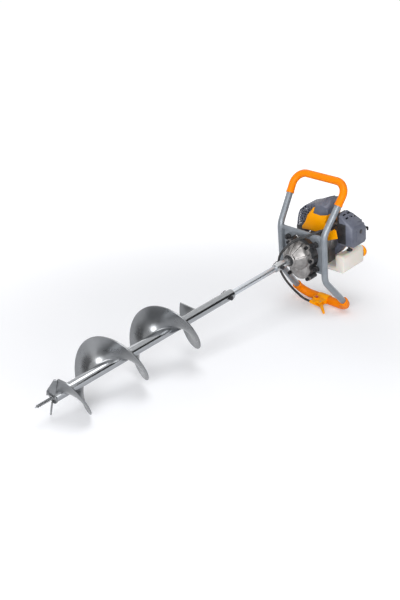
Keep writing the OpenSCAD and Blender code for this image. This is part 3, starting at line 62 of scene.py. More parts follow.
MM = 0.001
NODES = frame["nodes"]
JOINTS = {joint["name"]: joint for joint in frame["joints"]}

# %% [markdown]
# ## The machine's own axes
# The machine lies tilted on its bit and its lower grip. It is easier to think along its drive axis, so one
# matrix takes a point given in millimetres along the machine (x to the engine, z to the upper grip) to the
# studio floor. It is read from the bit's own joint, and so follows the frame if that is packed again.

# %% Machine matrix
DRIVE_PIN_X = -200.0
drive = JOINTS["drive_spin"]
axis_x = Vector(drive["axis"]).normalized()
axis_y = Vector((0, 1, 0))
axis_z = axis_x.cross(axis_y)
origin = Vector(drive["pos_m"]) - axis_x * DRIVE_PIN_X * MM
MACHINE = Matrix.Translation(origin) @ Matrix((axis_x, axis_y, axis_z)).transposed().to_4x4()
TO_STUDIO = MACHINE @ Matrix.Scale(MM, 4)
TILT = math.asin(axis_x.z)


def place(x, y, z):
    """A point of the machine, in millimetres, as a point in the studio, in metres."""
    return TO_STUDIO @ Vector((x, y, z))


print("tilt", round(math.degrees(TILT), 2), "degrees, origin", [round(v, 4) for v in origin])

# %% [markdown]
# ## Camera
# The photograph looks down on the bit's point from about 24 degrees, with the machine running away to the
# right. Its lens was found by matching the bit, the shaft and the two grips. Height is the long side of
# the picture, so the sensor fit is vertical.

# %% Camera
SENSOR_MM = 36.0
LENS_MM = 49.87
CAMERA_AT = (-2048.6, -1782.7, 1385.3)
CAMERA_RIGHT = (0.71611, -0.69088, -0.09937)
CAMERA_UP = (0.40787, 0.29866, 0.86281)

right, up = Vector(CAMERA_RIGHT), Vector(CAMERA_UP)
turn = Matrix((right, up, right.cross(up))).transposed().to_4x4()
camera_data = bpy.data.cameras.new("studio_camera")
camera_data.sensor_fit = "VERTICAL"
camera_data.sensor_height = SENSOR_MM
camera_data.lens = LENS_MM
camera = bpy.data.objects.new("studio_camera", camera_data)
camera.matrix_world = Matrix.Translation(place(*CAMERA_AT)) @ (MACHINE.to_3x3().to_4x4() @ turn)
bpy.context.scene.collection.objects.link(camera)
bpy.context.scene.camera = camera
print("camera at", [round(v, 3) for v in camera.location])

# %% [markdown]
# ## Shared surface effects
# Three effects come back in many finishes: slow clouds of lighter and darker colour, a fine grain that
# catches the light, and the drawn lines of turned or rolled metal. Each is a node group with named sockets,
# built once. The groups read Object coordinates, because every piece sits at the studio's origin.


# %% Group helpers
def new_group(name, inputs, outputs):
    """A shader node group with float inputs given as (name, value) and outputs given as (name, type)."""
    group = bpy.data.node_groups.new(name, "ShaderNodeTree")
    for label, value in inputs:
        socket = group.interface.new_socket(label, in_out="INPUT", socket_type="NodeSocketFloat")
        socket.default_value = value
    for label, kind in outputs:
        group.interface.new_socket(label, in_out="OUTPUT", socket_type=kind)
    return group, group.nodes.new("NodeGroupInput"), group.nodes.new("NodeGroupOutput")


def object_coordinates(tree, scale=(1, 1, 1), turn_y=0.0):
    """Object coordinates through a Mapping node, which turns and stretches a pattern."""
    source = tree.nodes.new("ShaderNodeTexCoord")
    mapping = tree.nodes.new("ShaderNodeMapping")
    mapping.inputs["Rotation"].default_value = (0, turn_y, 0)
    mapping.inputs["Scale"].default_value = scale
    tree.links.new(source.outputs["Object"], mapping.inputs["Vector"])
    return mapping.outputs["Vector"]


def mask_group(name, inputs, detail, **pattern):
    """A group that spreads the noise between its levels Low and High into a mask."""
    group, enter, leave = new_group(name, inputs, [("Mask", "NodeSocketFloat")])
    noise = group.nodes.new("ShaderNodeTexNoise")
    noise.inputs["Detail"].default_value = detail
    spread = group.nodes.new("ShaderNodeMapRange")
    group.links.new(object_coordinates(group, **pattern), noise.inputs["Vector"])
    group.links.new(enter.outputs["Scale"], noise.inputs["Scale"])
    group.links.new(noise.outputs["Fac"], spread.inputs["Value"])
    group.links.new(enter.outputs["Low"], spread.inputs["From Min"])
    group.links.new(enter.outputs["High"], spread.inputs["From Max"])
    group.links.new(spread.outputs["Result"], leave.inputs["Mask"])
    return group


# %% Clouds, and drawn lines that are long in the machine's x
CLOUD_DETAIL, DRAWN_DETAIL, DRAWN_STRETCH = 5.0, 4.0, 0.03
clouds = mask_group("clouds", [("Scale", 30.0), ("Low", 0.35), ("High", 0.65)], CLOUD_DETAIL)
drawn = mask_group(
    "drawn_lines", [("Scale", 700.0), ("Low", 0.3), ("High", 0.7)], DRAWN_DETAIL,
    scale=(DRAWN_STRETCH, 1, 1), turn_y=TILT,
)
print("groups", clouds.name, drawn.name)

# %% Grain
GRAIN_DETAIL = 3.0
grain, enter, leave = new_group(
    "grain", [("Scale", 900.0), ("Depth", 0.2), ("Height", 0.0002)], [("Normal", "NodeSocketVector")]
)
speck = grain.nodes.new("ShaderNodeTexNoise")
speck.inputs["Detail"].default_value = GRAIN_DETAIL
bump = grain.nodes.new("ShaderNodeBump")
grain.links.new(object_coordinates(grain), speck.inputs["Vector"])
grain.links.new(enter.outputs["Scale"], speck.inputs["Scale"])
grain.links.new(enter.outputs["Depth"], bump.inputs["Strength"])
grain.links.new(enter.outputs["Height"], bump.inputs["Distance"])
grain.links.new(speck.outputs["Fac"], bump.inputs["Height"])
grain.links.new(bump.outputs["Normal"], leave.inputs["Normal"])
print("group", grain.name)

# %% [markdown]
# ## Finishes
# A finish is one Principled shader. Its fixed numbers sit on the shader's own sockets, and the groups feed
# only what changes over the surface: two tones of colour, a span of roughness, and a fine normal. The
# roughness has clouds of its own, finer than those of the colour, so that the two do not run together.

# %% One recipe for every finish
FINISH = {}
COAT_ROUGHNESS = 0.12
SUBSURFACE_M = 0.006
ROUGH_CLOUDS = 2.3


def use_group(tree, group, **values):
    """Places a shared effect in a material, with values of its own."""
    node = tree.nodes.new("ShaderNodeGroup")
    node.node_tree = group
    for label, value in values.items():
        node.inputs[label].default_value = value
    return node


def finish(
    name, dark, light, rough, metallic=0.0, cloud=30.0, lines=None, bumps=None, coat=0.0, sss=0.0, gloss=0.5
):
    """Adds a finish of two tones, with rough as (low, high) and bumps as (scale, depth, height)."""
    material = bpy.data.materials.new(name)
    material.use_nodes = True
    tree = material.node_tree
    shader = tree.nodes["Principled BSDF"]
    shader.inputs["Metallic"].default_value = metallic
    shader.inputs["Specular IOR Level"].default_value = gloss
    shader.inputs["Coat Weight"].default_value = coat
    shader.inputs["Coat Roughness"].default_value = COAT_ROUGHNESS
    if sss:
        shader.inputs["Subsurface Weight"].default_value = sss
        shader.inputs["Subsurface Scale"].default_value = SUBSURFACE_M
    mask = use_group(tree, drawn, Scale=lines) if lines else use_group(tree, clouds, Scale=cloud)
    tones = tree.nodes.new("ShaderNodeMix")
    tones.data_type = "RGBA"
    tones.inputs["A"].default_value = (*dark, 1)
    tones.inputs["B"].default_value = (*light, 1)
    tree.links.new(mask.outputs["Mask"], tones.inputs["Factor"])
    tree.links.new(tones.outputs["Result"], shader.inputs["Base Color"])
    span = tree.nodes.new("ShaderNodeMapRange")
    span.inputs["To Min"].default_value = rough[0]
    span.inputs["To Max"].default_value = rough[1]
    finer = use_group(tree, clouds, Scale=cloud * ROUGH_CLOUDS)
    tree.links.new(finer.outputs["Mask"], span.inputs["Value"])
    tree.links.new(span.outputs["Result"], shader.inputs["Roughness"])
    if bumps:
        node = use_group(tree, grain, Scale=bumps[0], Depth=bumps[1], Height=bumps[2])
        tree.links.new(node.outputs["Normal"], shader.inputs["Normal"])
    FINISH[name] = material


# %% Metals
finish("bit_steel", (0.19, 0.197, 0.205), (0.27, 0.277, 0.285), (0.24, 0.34), metallic=1.0, cloud=6.0)
finish("tube_zinc", (0.3, 0.311, 0.325), (0.4, 0.412, 0.427), (0.12, 0.2), metallic=1.0, lines=420.0)
finish("shaft_zinc", (0.5, 0.527, 0.56), (0.6, 0.628, 0.66), (0.26, 0.36), metallic=1.0, lines=420.0)
finish("machined_steel", (0.42, 0.43, 0.44), (0.6, 0.61, 0.62), (0.2, 0.38), metallic=1.0, lines=900.0)
finish("black_oxide", (0.02, 0.02, 0.022), (0.05, 0.05, 0.055), (0.3, 0.5), metallic=0.8, cloud=120.0)
finish(
    "cast_alloy", (0.215, 0.206, 0.203), (0.35, 0.337, 0.331), (0.3, 0.44), metallic=0.8, cloud=45.0,
    bumps=(900, 0.35, 0.0004),
)
finish(
    "black_enamel", (0.022, 0.023, 0.025), (0.04, 0.041, 0.044), (0.3, 0.46), cloud=80.0,
    bumps=(800, 0.15, 0.0002),
)
finish(
    "frame_paint", (0.2, 0.222, 0.248), (0.24, 0.262, 0.29), (0.3, 0.42), metallic=0.35, cloud=40.0,
    bumps=(1100, 0.18, 0.0002), coat=0.25,
)
print("finishes", len(FINISH))

# %% Plastics, rubbers and the rest
finish(
    "orange_plastic", (0.96, 0.355, 0.0), (1.0, 0.4, 0.0), (0.34, 0.44), cloud=25.0,
    bumps=(1200, 0.08, 0.0002), gloss=0.16,
)
finish(
    "orange_sleeve", (0.84, 0.205, 0.0), (0.9, 0.235, 0.0), (0.34, 0.46), cloud=18.0,
    bumps=(1500, 0.12, 0.0002), gloss=0.14,
)
finish(
    "slate_plastic", (0.088, 0.097, 0.132), (0.118, 0.128, 0.168), (0.38, 0.5), cloud=30.0,
    bumps=(1600, 0.3, 0.0002),
)
finish(
    "black_plastic", (0.018, 0.018, 0.02), (0.03, 0.03, 0.033), (0.38, 0.52), cloud=60.0,
    bumps=(1400, 0.2, 0.0002),
)
finish(
    "black_rubber", (0.014, 0.014, 0.015), (0.028, 0.028, 0.03), (0.5, 0.68), cloud=70.0,
    bumps=(1300, 0.2, 0.0002),
)
finish("foam", (0.02, 0.02, 0.022), (0.06, 0.06, 0.065), (0.8, 0.95), cloud=500.0, bumps=(600, 0.8, 0.001))
finish(
    "tank_plastic", (0.79, 0.725, 0.65), (0.82, 0.775, 0.72), (0.34, 0.46), cloud=12.0,
    bumps=(500, 0.1, 0.0003), sss=0.4,
)
finish("plug_ceramic", (0.68, 0.62, 0.48), (0.8, 0.75, 0.62), (0.15, 0.3), cloud=60.0, coat=0.5)
finish(
    "rope", (0.012, 0.012, 0.013), (0.05, 0.05, 0.052), (0.7, 0.85), cloud=900.0, bumps=(1500, 0.7, 0.0005),
)
finish("red_plastic", (0.5, 0.03, 0.022), (0.62, 0.05, 0.035), (0.28, 0.4), cloud=60.0, coat=0.2)
print("finishes", len(FINISH))

# %% [markdown]
# ## Rounded copies of the solids
# A real casting or moulding has no knife edges: a small radius on each edge catches a line of light. The
# solids have sharp edges, so each visible one is copied, its loose triangles are merged, flat regions are
# joined again, and the sharp edges are bevelled. Where edges crowd, a bevel can throw a point off the skin,
# so such points are brought back to the nearest place on the solid. The copy then stands for its node.

# %% Pieces
SLOT_OF = {row["node"]: row["material_slot"] for row in frame["record"]["subparts"]}
BODY_OF = {node: body for body, nodes in frame["record"]["behaviour"]["bodies"].items() for node in nodes}
SHARP = math.radians(38.0)


def is_sharp(edge):
    """Says whether an edge turns far enough to show as a line."""
    return len(edge.link_faces) == 2 and edge.calc_face_angle(0) > SHARP


def add_object(bm, name, material):
    """Makes an object of a bmesh and puts it in the scene."""
    mesh = bpy.data.meshes.new(name)
    bm.to_mesh(mesh)
    bm.free()
    mesh.materials.append(material)
    piece = bpy.data.objects.new(name, mesh)
    bpy.context.scene.collection.objects.link(piece)
    return piece


def new_piece(bm, name, body, slot, material=None, replaces=()):
    """Makes a smooth piece of a bmesh and gives it a body and a finish, the slot's finish unless another is named.
    """
    for face in bm.faces:
        face.smooth = True
    for edge in bm.edges:
        if is_sharp(edge):
            edge.smooth = False
    piece = add_object(bm, name, FINISH[material or slot])
    if body:
        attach(piece, body)
    if replaces:
        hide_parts(*replaces)
    return piece


# %% Rounded copy
MERGE_M = 0.00001
FLAT = math.radians(1.0)
EDGE_STEPS = 2
STRAY_OUT_MM, STRAY_IN = 0.3, 0.5


def rounded_copy(node, radius_mm, material=None):
    """Makes a copy of a node with its sharp edges bevelled."""
    bm = bmesh.new()
    bm.from_mesh(NODES[node].data)
    bmesh.ops.remove_doubles(bm, verts=bm.verts, dist=MERGE_M)
    bmesh.ops.dissolve_limit(bm, angle_limit=FLAT, verts=bm.verts, edges=bm.edges)
    skin = BVHTree.FromBMesh(bm)
    bmesh.ops.bevel(
        bm, geom=[e for e in bm.edges if is_sharp(e)], offset=radius_mm * MM, offset_type="OFFSET",
        affect="EDGES", segments=EDGE_STEPS, profile=0.5, material=-1, clamp_overlap=False, loop_slide=True,
    )
    for v in bm.verts:
        nearest, facing, _, distance = skin.find_nearest(v.co)
        limit = STRAY_OUT_MM if (v.co - nearest).dot(facing) > 0 else STRAY_IN * radius_mm
        if distance > limit * MM:
            v.co = nearest
    new_piece(bm, node + "_shape", BODY_OF[node], SLOT_OF[node], material, replaces=(node,))


# %% Rounded pieces, with the radius of each
ROUNDED = {
    "gearbox_case": 0.8, "gearbox_cover": 0.6, "clutch_housing": 0.5, "crankcase_front": 0.4,
    "crankcase_rear": 0.4, "engine_shroud": 0.7, "top_cover": 0.7, "filter_cover": 0.9,
    "fuel_tank": 4.0, "fuel_cap": 0.3, "throttle_housing": 0.8, "throttle_trigger": 1.0,
    "starter_housing": 0.6, "crossbar": 0.6, "mount_plate": 0.4, "cutter_blade": 0.4,
    "choke_lever": 0.4, "filter_base": 0.5, "stop_switch": 0.6, "carburettor": 0.5, "mounting_bolts": 0.4,
    "output_shaft": 0.5, "intake_insulator": 0.5, "muffler": 0.8, "fan_housing": 0.6, "filter_screw": 0.3,
    "bit_tube": 0.5, "extension_shaft": 0.4, "drive_pins": 0.2, "pilot_point": 0.2, "output_seal": 0.4,
    "dampers": 0.5, "starter_handle": 0.6, "plug_boot": 0.2, "spark_plug": 0.2, "trigger_pin": 0.3,
}
DRAWN_TUBES = {"bit_tube": "tube_zinc", "extension_shaft": "shaft_zinc"}
for node, radius in ROUNDED.items():
    rounded_copy(node, radius, DRAWN_TUBES.get(node))
print("rounded copies", len(ROUNDED))

# %% Finishes on the solids that stay as they are
for node, solid in NODES.items():
    solid.data.materials.clear()
    solid.data.materials.append(FINISH[SLOT_OF[node]])
print("finished solids", len(NODES))

# %% [markdown]
# ## Bent tubes
# The frame is bent from one size of round tube. A bent tube is a circle that travels: straight runs are an
# extrusion, and each bend is a spin about the bend's own centre. That is how a tube bender works too.


# %% Loops that travel
def loop_of(geometry, kind):
    """The vertices or the edges among what an operator has made."""
    return [item for item in geometry if isinstance(item, kind)]


def start_ring(bm, at, direction, radius, sides):
    """A ring of edges that faces along a direction."""
    facing = Vector((0, 0, 1)).rotation_difference(direction).to_matrix().to_4x4()
    ring = bmesh.ops.create_circle(
        bm, radius=radius, segments=sides, matrix=Matrix.Translation(at) @ facing
    )
    return list({e for v in ring["verts"] for e in v.link_edges})


def move_loop(bm, edges, shift):
    """Extrudes a loop of edges and moves the new loop."""
    out = bmesh.ops.extrude_edge_only(bm, edges=edges)["geom"]
    bmesh.ops.translate(bm, verts=loop_of(out, bmesh.types.BMVert), vec=shift)
    return loop_of(out, bmesh.types.BMEdge)


def carry_loop(bm, edges, at, goal, factor):
    """Extrudes a loop from one centre to the next and scales it there."""
    edges = move_loop(bm, edges, goal - at)
    verts = list({v for e in edges for v in e.verts})
    bmesh.ops.scale(bm, verts=verts, vec=(factor,) * 3, space=Matrix.Translation(-goal))
    return edges


def close_ends(bm):
    """Fills the open ends of a drawn shape."""
    bmesh.ops.holes_fill(bm, edges=[e for e in bm.edges if e.is_boundary], sides=0)


def to_studio(bm):
    """Turns the faces outwards and takes a shape from machine millimetres to the studio."""
    bmesh.ops.recalc_face_normals(bm, faces=bm.faces)
    bmesh.ops.transform(bm, matrix=TO_STUDIO, verts=bm.verts)


# %% Bent tube
TUBE_SIDES, BEND_STEPS = 40, 16
SAME_POINT_MM = 0.001


def bend(bm, edges, corner, before, after, radius):
    """Spins a loop round a corner between two directions."""
    angle = before.angle(after)
    inward = (after - before * before.dot(after)).normalized()
    centre = corner - before * (radius * math.tan(angle / 2)) + inward * radius
    out = bmesh.ops.spin(
        bm, geom=edges, cent=centre, axis=before.cross(after).normalized(), angle=angle, steps=BEND_STEPS,
        use_merge=False, use_duplicate=False, dvec=(0, 0, 0),
    )["geom_last"]
    return loop_of(out, bmesh.types.BMEdge)


def bent_tube(points, bends, radius, ends=((), ())):
    """A tube in machine millimetres, whose ends are given as rings of (distance from the end, radius)."""
    bm = bmesh.new()
    path = [Vector(point) for point in points]
    way = [(b - a).normalized() for a, b in zip(path, path[1:])]
    head = list(ends[0]) or [(0.0, radius)]
    at, size = path[0] + way[0] * head[0][0], head[0][1]
    edges = start_ring(bm, at, way[0], size, TUBE_SIDES)
    for distance, ring_radius in head[1:] + [(head[-1][0], radius)]:
        goal = path[0] + way[0] * distance
        edges = carry_loop(bm, edges, at, goal, ring_radius / size)
        at, size = goal, ring_radius
    for i in range(1, len(path) - 1):
        reach = bends[i] * math.tan(way[i - 1].angle(way[i]) / 2)
        entry = path[i] - way[i - 1] * reach
        edges = move_loop(bm, edges, entry - at)
        edges = bend(bm, edges, path[i], way[i - 1], way[i], bends[i])
        at = path[i] + way[i] * reach
    tail = list(reversed(ends[1])) or [(0.0, radius)]
    for distance, ring_radius in [(tail[0][0], size)] + tail:
        goal = path[-1] - way[-1] * distance
        edges = carry_loop(bm, edges, at, goal, ring_radius / size)
        at, size = goal, ring_radius
    bmesh.ops.remove_doubles(bm, verts=bm.verts, dist=SAME_POINT_MM)
    close_ends(bm)
    to_studio(bm)
    return bm


# %% Frame tubes
LEG_Y, ELBOW_Z, GRIP_X, GRIP_Y, GRIP_Z = 100.0, 91.0, 120.0, 117.0, 251.0
ELBOW_R, CORNER_R, TUBE_R = 60.0, 46.0, 12.0
HOOP_BENDS = (0, ELBOW_R, CORNER_R, CORNER_R, ELBOW_R, 0)
HOOPS = {"upper": 1, "lower": -1}


def hoop(side):
    """The path of the upper (1) or the lower (-1) half of the frame."""
    return [
        (0, LEG_Y, 0), (0, LEG_Y, side * ELBOW_Z), (GRIP_X, GRIP_Y, side * GRIP_Z),
        (GRIP_X, -GRIP_Y, side * GRIP_Z), (0, -LEG_Y, side * ELBOW_Z), (0, -LEG_Y, 0),
    ]


for name, side in HOOPS.items():
    bm = bent_tube(hoop(side), HOOP_BENDS, TUBE_R)
    new_piece(bm, name + "_frame_tube", "machine", "frame_paint", replaces=(name + "_hoop",))
print("frame tubes", len(HOOPS))

# %% [markdown]
# ## Grip sleeves
# A grip is a soft sleeve that is pushed over the tube, with a thicker lip where it ends. It follows the
# tube's own bends, so the same function draws it on a part of the same path. A lip is a few rings of changing
# radius. The lower sleeves have a plain inner end, inside the throttle's housing.

# %% Grip sleeves
UPPER_SLEEVE_R, UPPER_SLEEVE_LEG = 14.0, 84.0
LOWER_SLEEVE_R, LOWER_SLEEVE_LEG = 16.5, 56.0
THROTTLE_ENDS = (24.0, -16.0)
SLEEVE_GAP = 0.2
LIP = [(0.05, -0.6), (0.6, 0.6), (2.2, 1.2), (7, 1.0), (10, 0)]


def sleeve_path(side, leg):
    """The path of a sleeve: along the grip, and some way down the leg at both of its ends."""
    far_leg, far_corner, near_corner, near_leg = [Vector(point) for point in hoop(side)[1:5]]
    far_end = far_corner + (far_leg - far_corner).normalized() * leg
    near_end = near_corner + (near_leg - near_corner).normalized() * leg
    return [far_end, far_corner, near_corner, near_end]


def lip(radius):
    """The thick end of a sleeve, as rings of (distance from the end, radius)."""
    return [(0, TUBE_R + SLEEVE_GAP)] + [(distance, radius + more) for distance, more in LIP]


upper_lip, lower_lip = lip(UPPER_SLEEVE_R), lip(LOWER_SLEEVE_R)
upper_path = sleeve_path(1, UPPER_SLEEVE_LEG)
far_end, far_corner, near_corner, near_end = sleeve_path(-1, LOWER_SLEEVE_LEG)
far_inner, near_inner = [(GRIP_X, y, -GRIP_Z) for y in THROTTLE_ENDS]
far_path = [far_end, far_corner, far_inner]
near_path = [near_inner, near_corner, near_end]
SLEEVES = {
    "upper_sleeve": (upper_path, UPPER_SLEEVE_R, (upper_lip, upper_lip), "upper_grip"),
    "lower_sleeve_far": (far_path, LOWER_SLEEVE_R, (lower_lip, ()), "lower_grip"),
    "lower_sleeve_near": (near_path, LOWER_SLEEVE_R, ((), lower_lip), "lower_grip"),
}
for name, (path, radius, ends, node) in SLEEVES.items():
    bends = [0] + [CORNER_R] * (len(path) - 2) + [0]
    bm = bent_tube(path, bends, radius, ends)
    new_piece(bm, name, "machine", "orange_sleeve", replaces=(node,))
print("sleeves", len(SLEEVES))

# %% [markdown]
# ## The flight of the bit
# A flight is a flat ring of plate pulled out into a screw and welded to the tube. A thin upright profile,
# spun about the drive axis while it moves along it, gives the same form. Just behind the cutter the plate
# is cut a little smaller, so its first few rows are drawn in.

# %% Along the flight
FLIGHT_R, FLIGHT_IN, FLIGHT_T, PITCH = 100.0, 17.4, 4.0, 220.0
FLIGHT_X, FLIGHT_TURNS, LEAD_TURNS, FIRST_TURN = -1093.9, 2.62, 0.055, -0.87
FLIGHT_STEPS = 268


def along_flight(bm, outline):
    """Spins a closed outline of (radius, x) points along the whole flight and closes its two ends."""
    verts = [bm.verts.new((x, 0, r)) for r, x in outline]
    edges = [bm.edges.new(pair) for pair in zip(verts, verts[1:] + verts[:1])]
    start = Matrix.Rotation((FIRST_TURN - LEAD_TURNS) * math.tau, 3, "X")
    bmesh.ops.translate(bm, verts=verts, vec=(FLIGHT_X - LEAD_TURNS * PITCH, 0, 0))
    bmesh.ops.rotate(bm, verts=verts, cent=(0, 0, 0), matrix=start)
    turns = FLIGHT_TURNS + LEAD_TURNS
    bmesh.ops.spin(
        bm, geom=verts + edges, cent=(0, 0, 0), axis=(1, 0, 0), angle=turns * math.tau, steps=FLIGHT_STEPS,
        dvec=(turns * PITCH / FLIGHT_STEPS, 0, 0), use_merge=False, use_duplicate=False,
    )
    close_ends(bm)


# %% Flight
FLIGHT_RUNGS, FLIGHT_CHAMFER = 8, 0.8
LEAD_CUT = 0.12


def lead_edge(x):
    """Outer radius of the flight at a place along it."""
    return FLIGHT_R * min(1.0, 1 + LEAD_CUT * (x - FLIGHT_X) / PITCH / LEAD_TURNS)


half = FLIGHT_T / 2
rim = FLIGHT_R - FLIGHT_CHAMFER
rungs = [FLIGHT_IN + (FLIGHT_R - FLIGHT_IN) * k / FLIGHT_RUNGS for k in range(FLIGHT_RUNGS)]
flight_outline = (
    [(r, -half) for r in rungs]
    + [(rim, -half), (FLIGHT_R, FLIGHT_CHAMFER - half), (FLIGHT_R, half - FLIGHT_CHAMFER), (rim, half)]
    + [(r, half) for r in reversed(rungs)]
)
bm = bmesh.new()
along_flight(bm, flight_outline)
for v in bm.verts:
    r = math.hypot(v.co.y, v.co.z)
    limit = lead_edge(v.co.x)
    if limit < FLIGHT_R:
        share = (r - FLIGHT_IN) / (FLIGHT_R - FLIGHT_IN)
        scale = (FLIGHT_IN + (limit - FLIGHT_IN) * share) / r
        v.co.y *= scale
        v.co.z *= scale
to_studio(bm)
flight = new_piece(bm, "bit_flight_plate", "bit_drive", "bit_steel", replaces=("bit_flight",))
print("flight faces", len(flight.data.polygons))

# %% Weld beads along the flight
BEAD = [(17.4, -5.2), (19.4, -4.8), (20.6, -3.4), (20.8, -1.9), (17.4, -1.9)]
BEAD_SIDES = {"front": 1, "back": -1}
for name, side in BEAD_SIDES.items():
    bm = bmesh.new()
    along_flight(bm, [(r, side * x) for r, x in BEAD])
    to_studio(bm)
    new_piece(bm, "flight_weld_" + name, "bit_drive", "bit_steel")
print("weld beads", len(BEAD_SIDES))

# %% [markdown]
# ## Throttle cable and fuel hoses
# A sleeved cable is stiff: it keeps one smooth curve between its two ends. A curve with a round bevel is
# made for this, and its points repeat the route of the solid.

# %% Cords
CORD_ROUNDNESS = 5


def studio_curve(points, radius_mm, name, slot):
    """Makes a round cord through points in machine millimetres."""
    curve = bpy.data.curves.new(name, "CURVE")
    curve.dimensions = "3D"
    curve.bevel_depth = radius_mm * MM
    curve.bevel_resolution = CORD_ROUNDNESS
    curve.use_fill_caps = True
    spline = curve.splines.new("POLY")
    spline.points.add(len(points) - 1)
    for target, point in zip(spline.points, points):
        target.co = (*place(*point), 1)
    curve.materials.append(FINISH[slot])
    piece = bpy.data.objects.new(name, curve)
    bpy.context.scene.collection.objects.link(piece)
    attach(piece, "machine")
    return piece


def smooth_route(points, steps):
    """Smooth points through a route, as in the part's source."""
    p = [Vector(q) for q in points]
    out = []
    for i in range(len(p) - 1):
        a, b, c, d = p[max(i - 1, 0)], p[i], p[i + 1], p[min(i + 2, len(p) - 1)]
        for k in range(steps):
            t = k / steps
            square = (2 * a - 5 * b + 4 * c - d) * t**2
            cube = (3 * b - a - 3 * c + d) * t**3
            out.append(0.5 * (2 * b + (c - a) * t + square + cube))
    return out + [p[-1]]


def length_of(points):
    """The length of a line through points."""
    return sum((b - a).length for a, b in zip(points, points[1:]))


# %% Throttle cable
CABLE_ROUTE = [
    (66, 30.5, -247), (66, 39, -247), (65, 52, -245), (61, 67, -238), (53, 80, -222), (40, 88, -202),
    (16, 86, -170), (-10, 80, -136), (-38, 72, -94), (-64, 60, -52), (-80, 46, -14), (-82, 35, 15),
    (-72, 23, 36), (-56, 8, 56), (-38, -12, 70), (-24, -36, 82), (-6, -62, 96), (18, -80, 102),
    (46, -86, 100), (72, -84, 97), (89.4, -82, 96),
]
CABLE_R, CABLE_STEPS = 4.5, 6
cable_points = smooth_route(CABLE_ROUTE, CABLE_STEPS)
cable = studio_curve(cable_points, CABLE_R, "throttle_cable_sleeve", "black_rubber")
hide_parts("throttle_cable")
print("cable length", round(length_of(cable_points)), "mm")

# %% Fuel hoses
HOSES = {
    "fuel_hose": [(148, -96, -24), (146, -92, -6), (138, -86, 20), (126, -82, 44), (120, -80, 65.3)],
    "return_hose": [(158, -92, -24), (154, -86, -6), (144, -78, 20), (130, -74, 44), (124, -72, 65.3)],
}
HOSE_R, HOSE_STEPS = 2.5, 8
for name, route in HOSES.items():
    hose_points = smooth_route(route, HOSE_STEPS)
    hose = studio_curve(hose_points, HOSE_R, name, "black_rubber")
    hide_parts("fuel_lines")
    print(name, round(length_of(hose_points)), "mm")

# %% [markdown]
# ## Turned and drawn trim
# A grommet is a turned rubber ring, so its outline is spun once about its own axis. The starter's rope is
# three twisted strands: a three-lobed ring that is drawn out and turned as it goes. It hangs between the
# pulley in the machine and the handle, and it is given to neither body.

# %% Grommet of the fuel hoses
GROMMET = [
    (0, -31), (9, -31), (9, -28), (10.4, -28), (11, -27.3), (11, -25), (10.2, -24.2), (5, -24), (0, -24.3),
]
GROMMET_AT, GROMMET_STEPS = (153, -94), 40
bm = bmesh.new()
verts = [bm.verts.new((r, 0, z)) for r, z in GROMMET]
edges = [bm.edges.new(pair) for pair in zip(verts, verts[1:])]
bmesh.ops.spin(
    bm, geom=verts + edges, cent=(0, 0, 0), axis=(0, 0, 1), angle=math.tau, steps=GROMMET_STEPS,
    use_merge=True, use_duplicate=False, dvec=(0, 0, 0),
)
bmesh.ops.remove_doubles(bm, verts=bm.verts, dist=SAME_POINT_MM)
bmesh.ops.translate(bm, verts=bm.verts, vec=(*GROMMET_AT, 0))
to_studio(bm)
new_piece(bm, "hose_grommet", "machine", "black_rubber")
print("grommet", len(GROMMET), "points")

# %% Starter rope
ROPE_AT, ROPE_Z = (189, 28), (-4.75, 57.25)
ROPE_R, ROPE_SIDES, ROPE_STRANDS, ROPE_LOBE = 1.8, 18, 3, 0.2
ROPE_ROWS, ROPE_TURN = 60, math.radians(14)
bm = bmesh.new()
edges = start_ring(bm, Vector((*ROPE_AT, ROPE_Z[0])), Vector((0, 0, 1)), ROPE_R, ROPE_SIDES)
for v in bm.verts:
    spoke = v.co - Vector((*ROPE_AT, v.co.z))
    v.co += spoke.normalized() * ROPE_LOBE * math.cos(ROPE_STRANDS * math.atan2(spoke.y, spoke.x))
rise = Vector((0, 0, (ROPE_Z[1] - ROPE_Z[0]) / ROPE_ROWS))
twist = Matrix.Rotation(ROPE_TURN, 3, "Z")
for row in range(ROPE_ROWS):
    edges = move_loop(bm, edges, rise)
    verts = list({v for e in edges for v in e.verts})
    bmesh.ops.rotate(bm, verts=verts, cent=(*ROPE_AT, 0), matrix=twist)
close_ends(bm)
to_studio(bm)
rope = new_piece(bm, "starter_rope_strands", None, "rope", replaces=("starter_rope",))
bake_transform(rope)
print("rope rows", ROPE_ROWS)

# %% [markdown]
# ## Small plates and ribs
# Stamped shields and moulded ribs are flat outlines with a little thickness. An outline is filled, extruded
# straight through its thickness and rounded at its edges, as a blank is cut from sheet metal and deburred.


# %% Cut plate
def thicken(bm, face, shift, edge_mm):
    """Extrudes a flat face by a shift and rounds every edge of the plate."""
    out = bmesh.ops.extrude_face_region(bm, geom=[face])["geom"]
    moved = loop_of(out, bmesh.types.BMVert)
    bmesh.ops.translate(bm, verts=moved, vec=shift)
    edges = {e for v in [*moved, *face.verts] for e in v.link_edges}
    bmesh.ops.bevel(
        bm, geom=list(edges), offset=edge_mm, offset_type="OFFSET", affect="EDGES", segments=EDGE_STEPS,
        profile=0.5, material=-1, clamp_overlap=True,
    )


def plate_piece(name, plates, edge_mm, slot):
    """Makes one piece of plates, each given as (outline, shift) in machine millimetres."""
    bm = bmesh.new()
    for outline, shift in plates:
        face = bm.faces.new([bm.verts.new(point) for point in outline])
        thicken(bm, face, shift, edge_mm)
    to_studio(bm)
    new_piece(bm, name, "machine", slot)


def upright(x, outline):
    """An outline of (y, z) points, stood across the machine at x."""
    return [(x, y, z) for y, z in outline]


def oblong(low, high):
    """The four corners of a rectangle."""
    return [low, (high[0], low[1]), high, (low[0], high[1])]


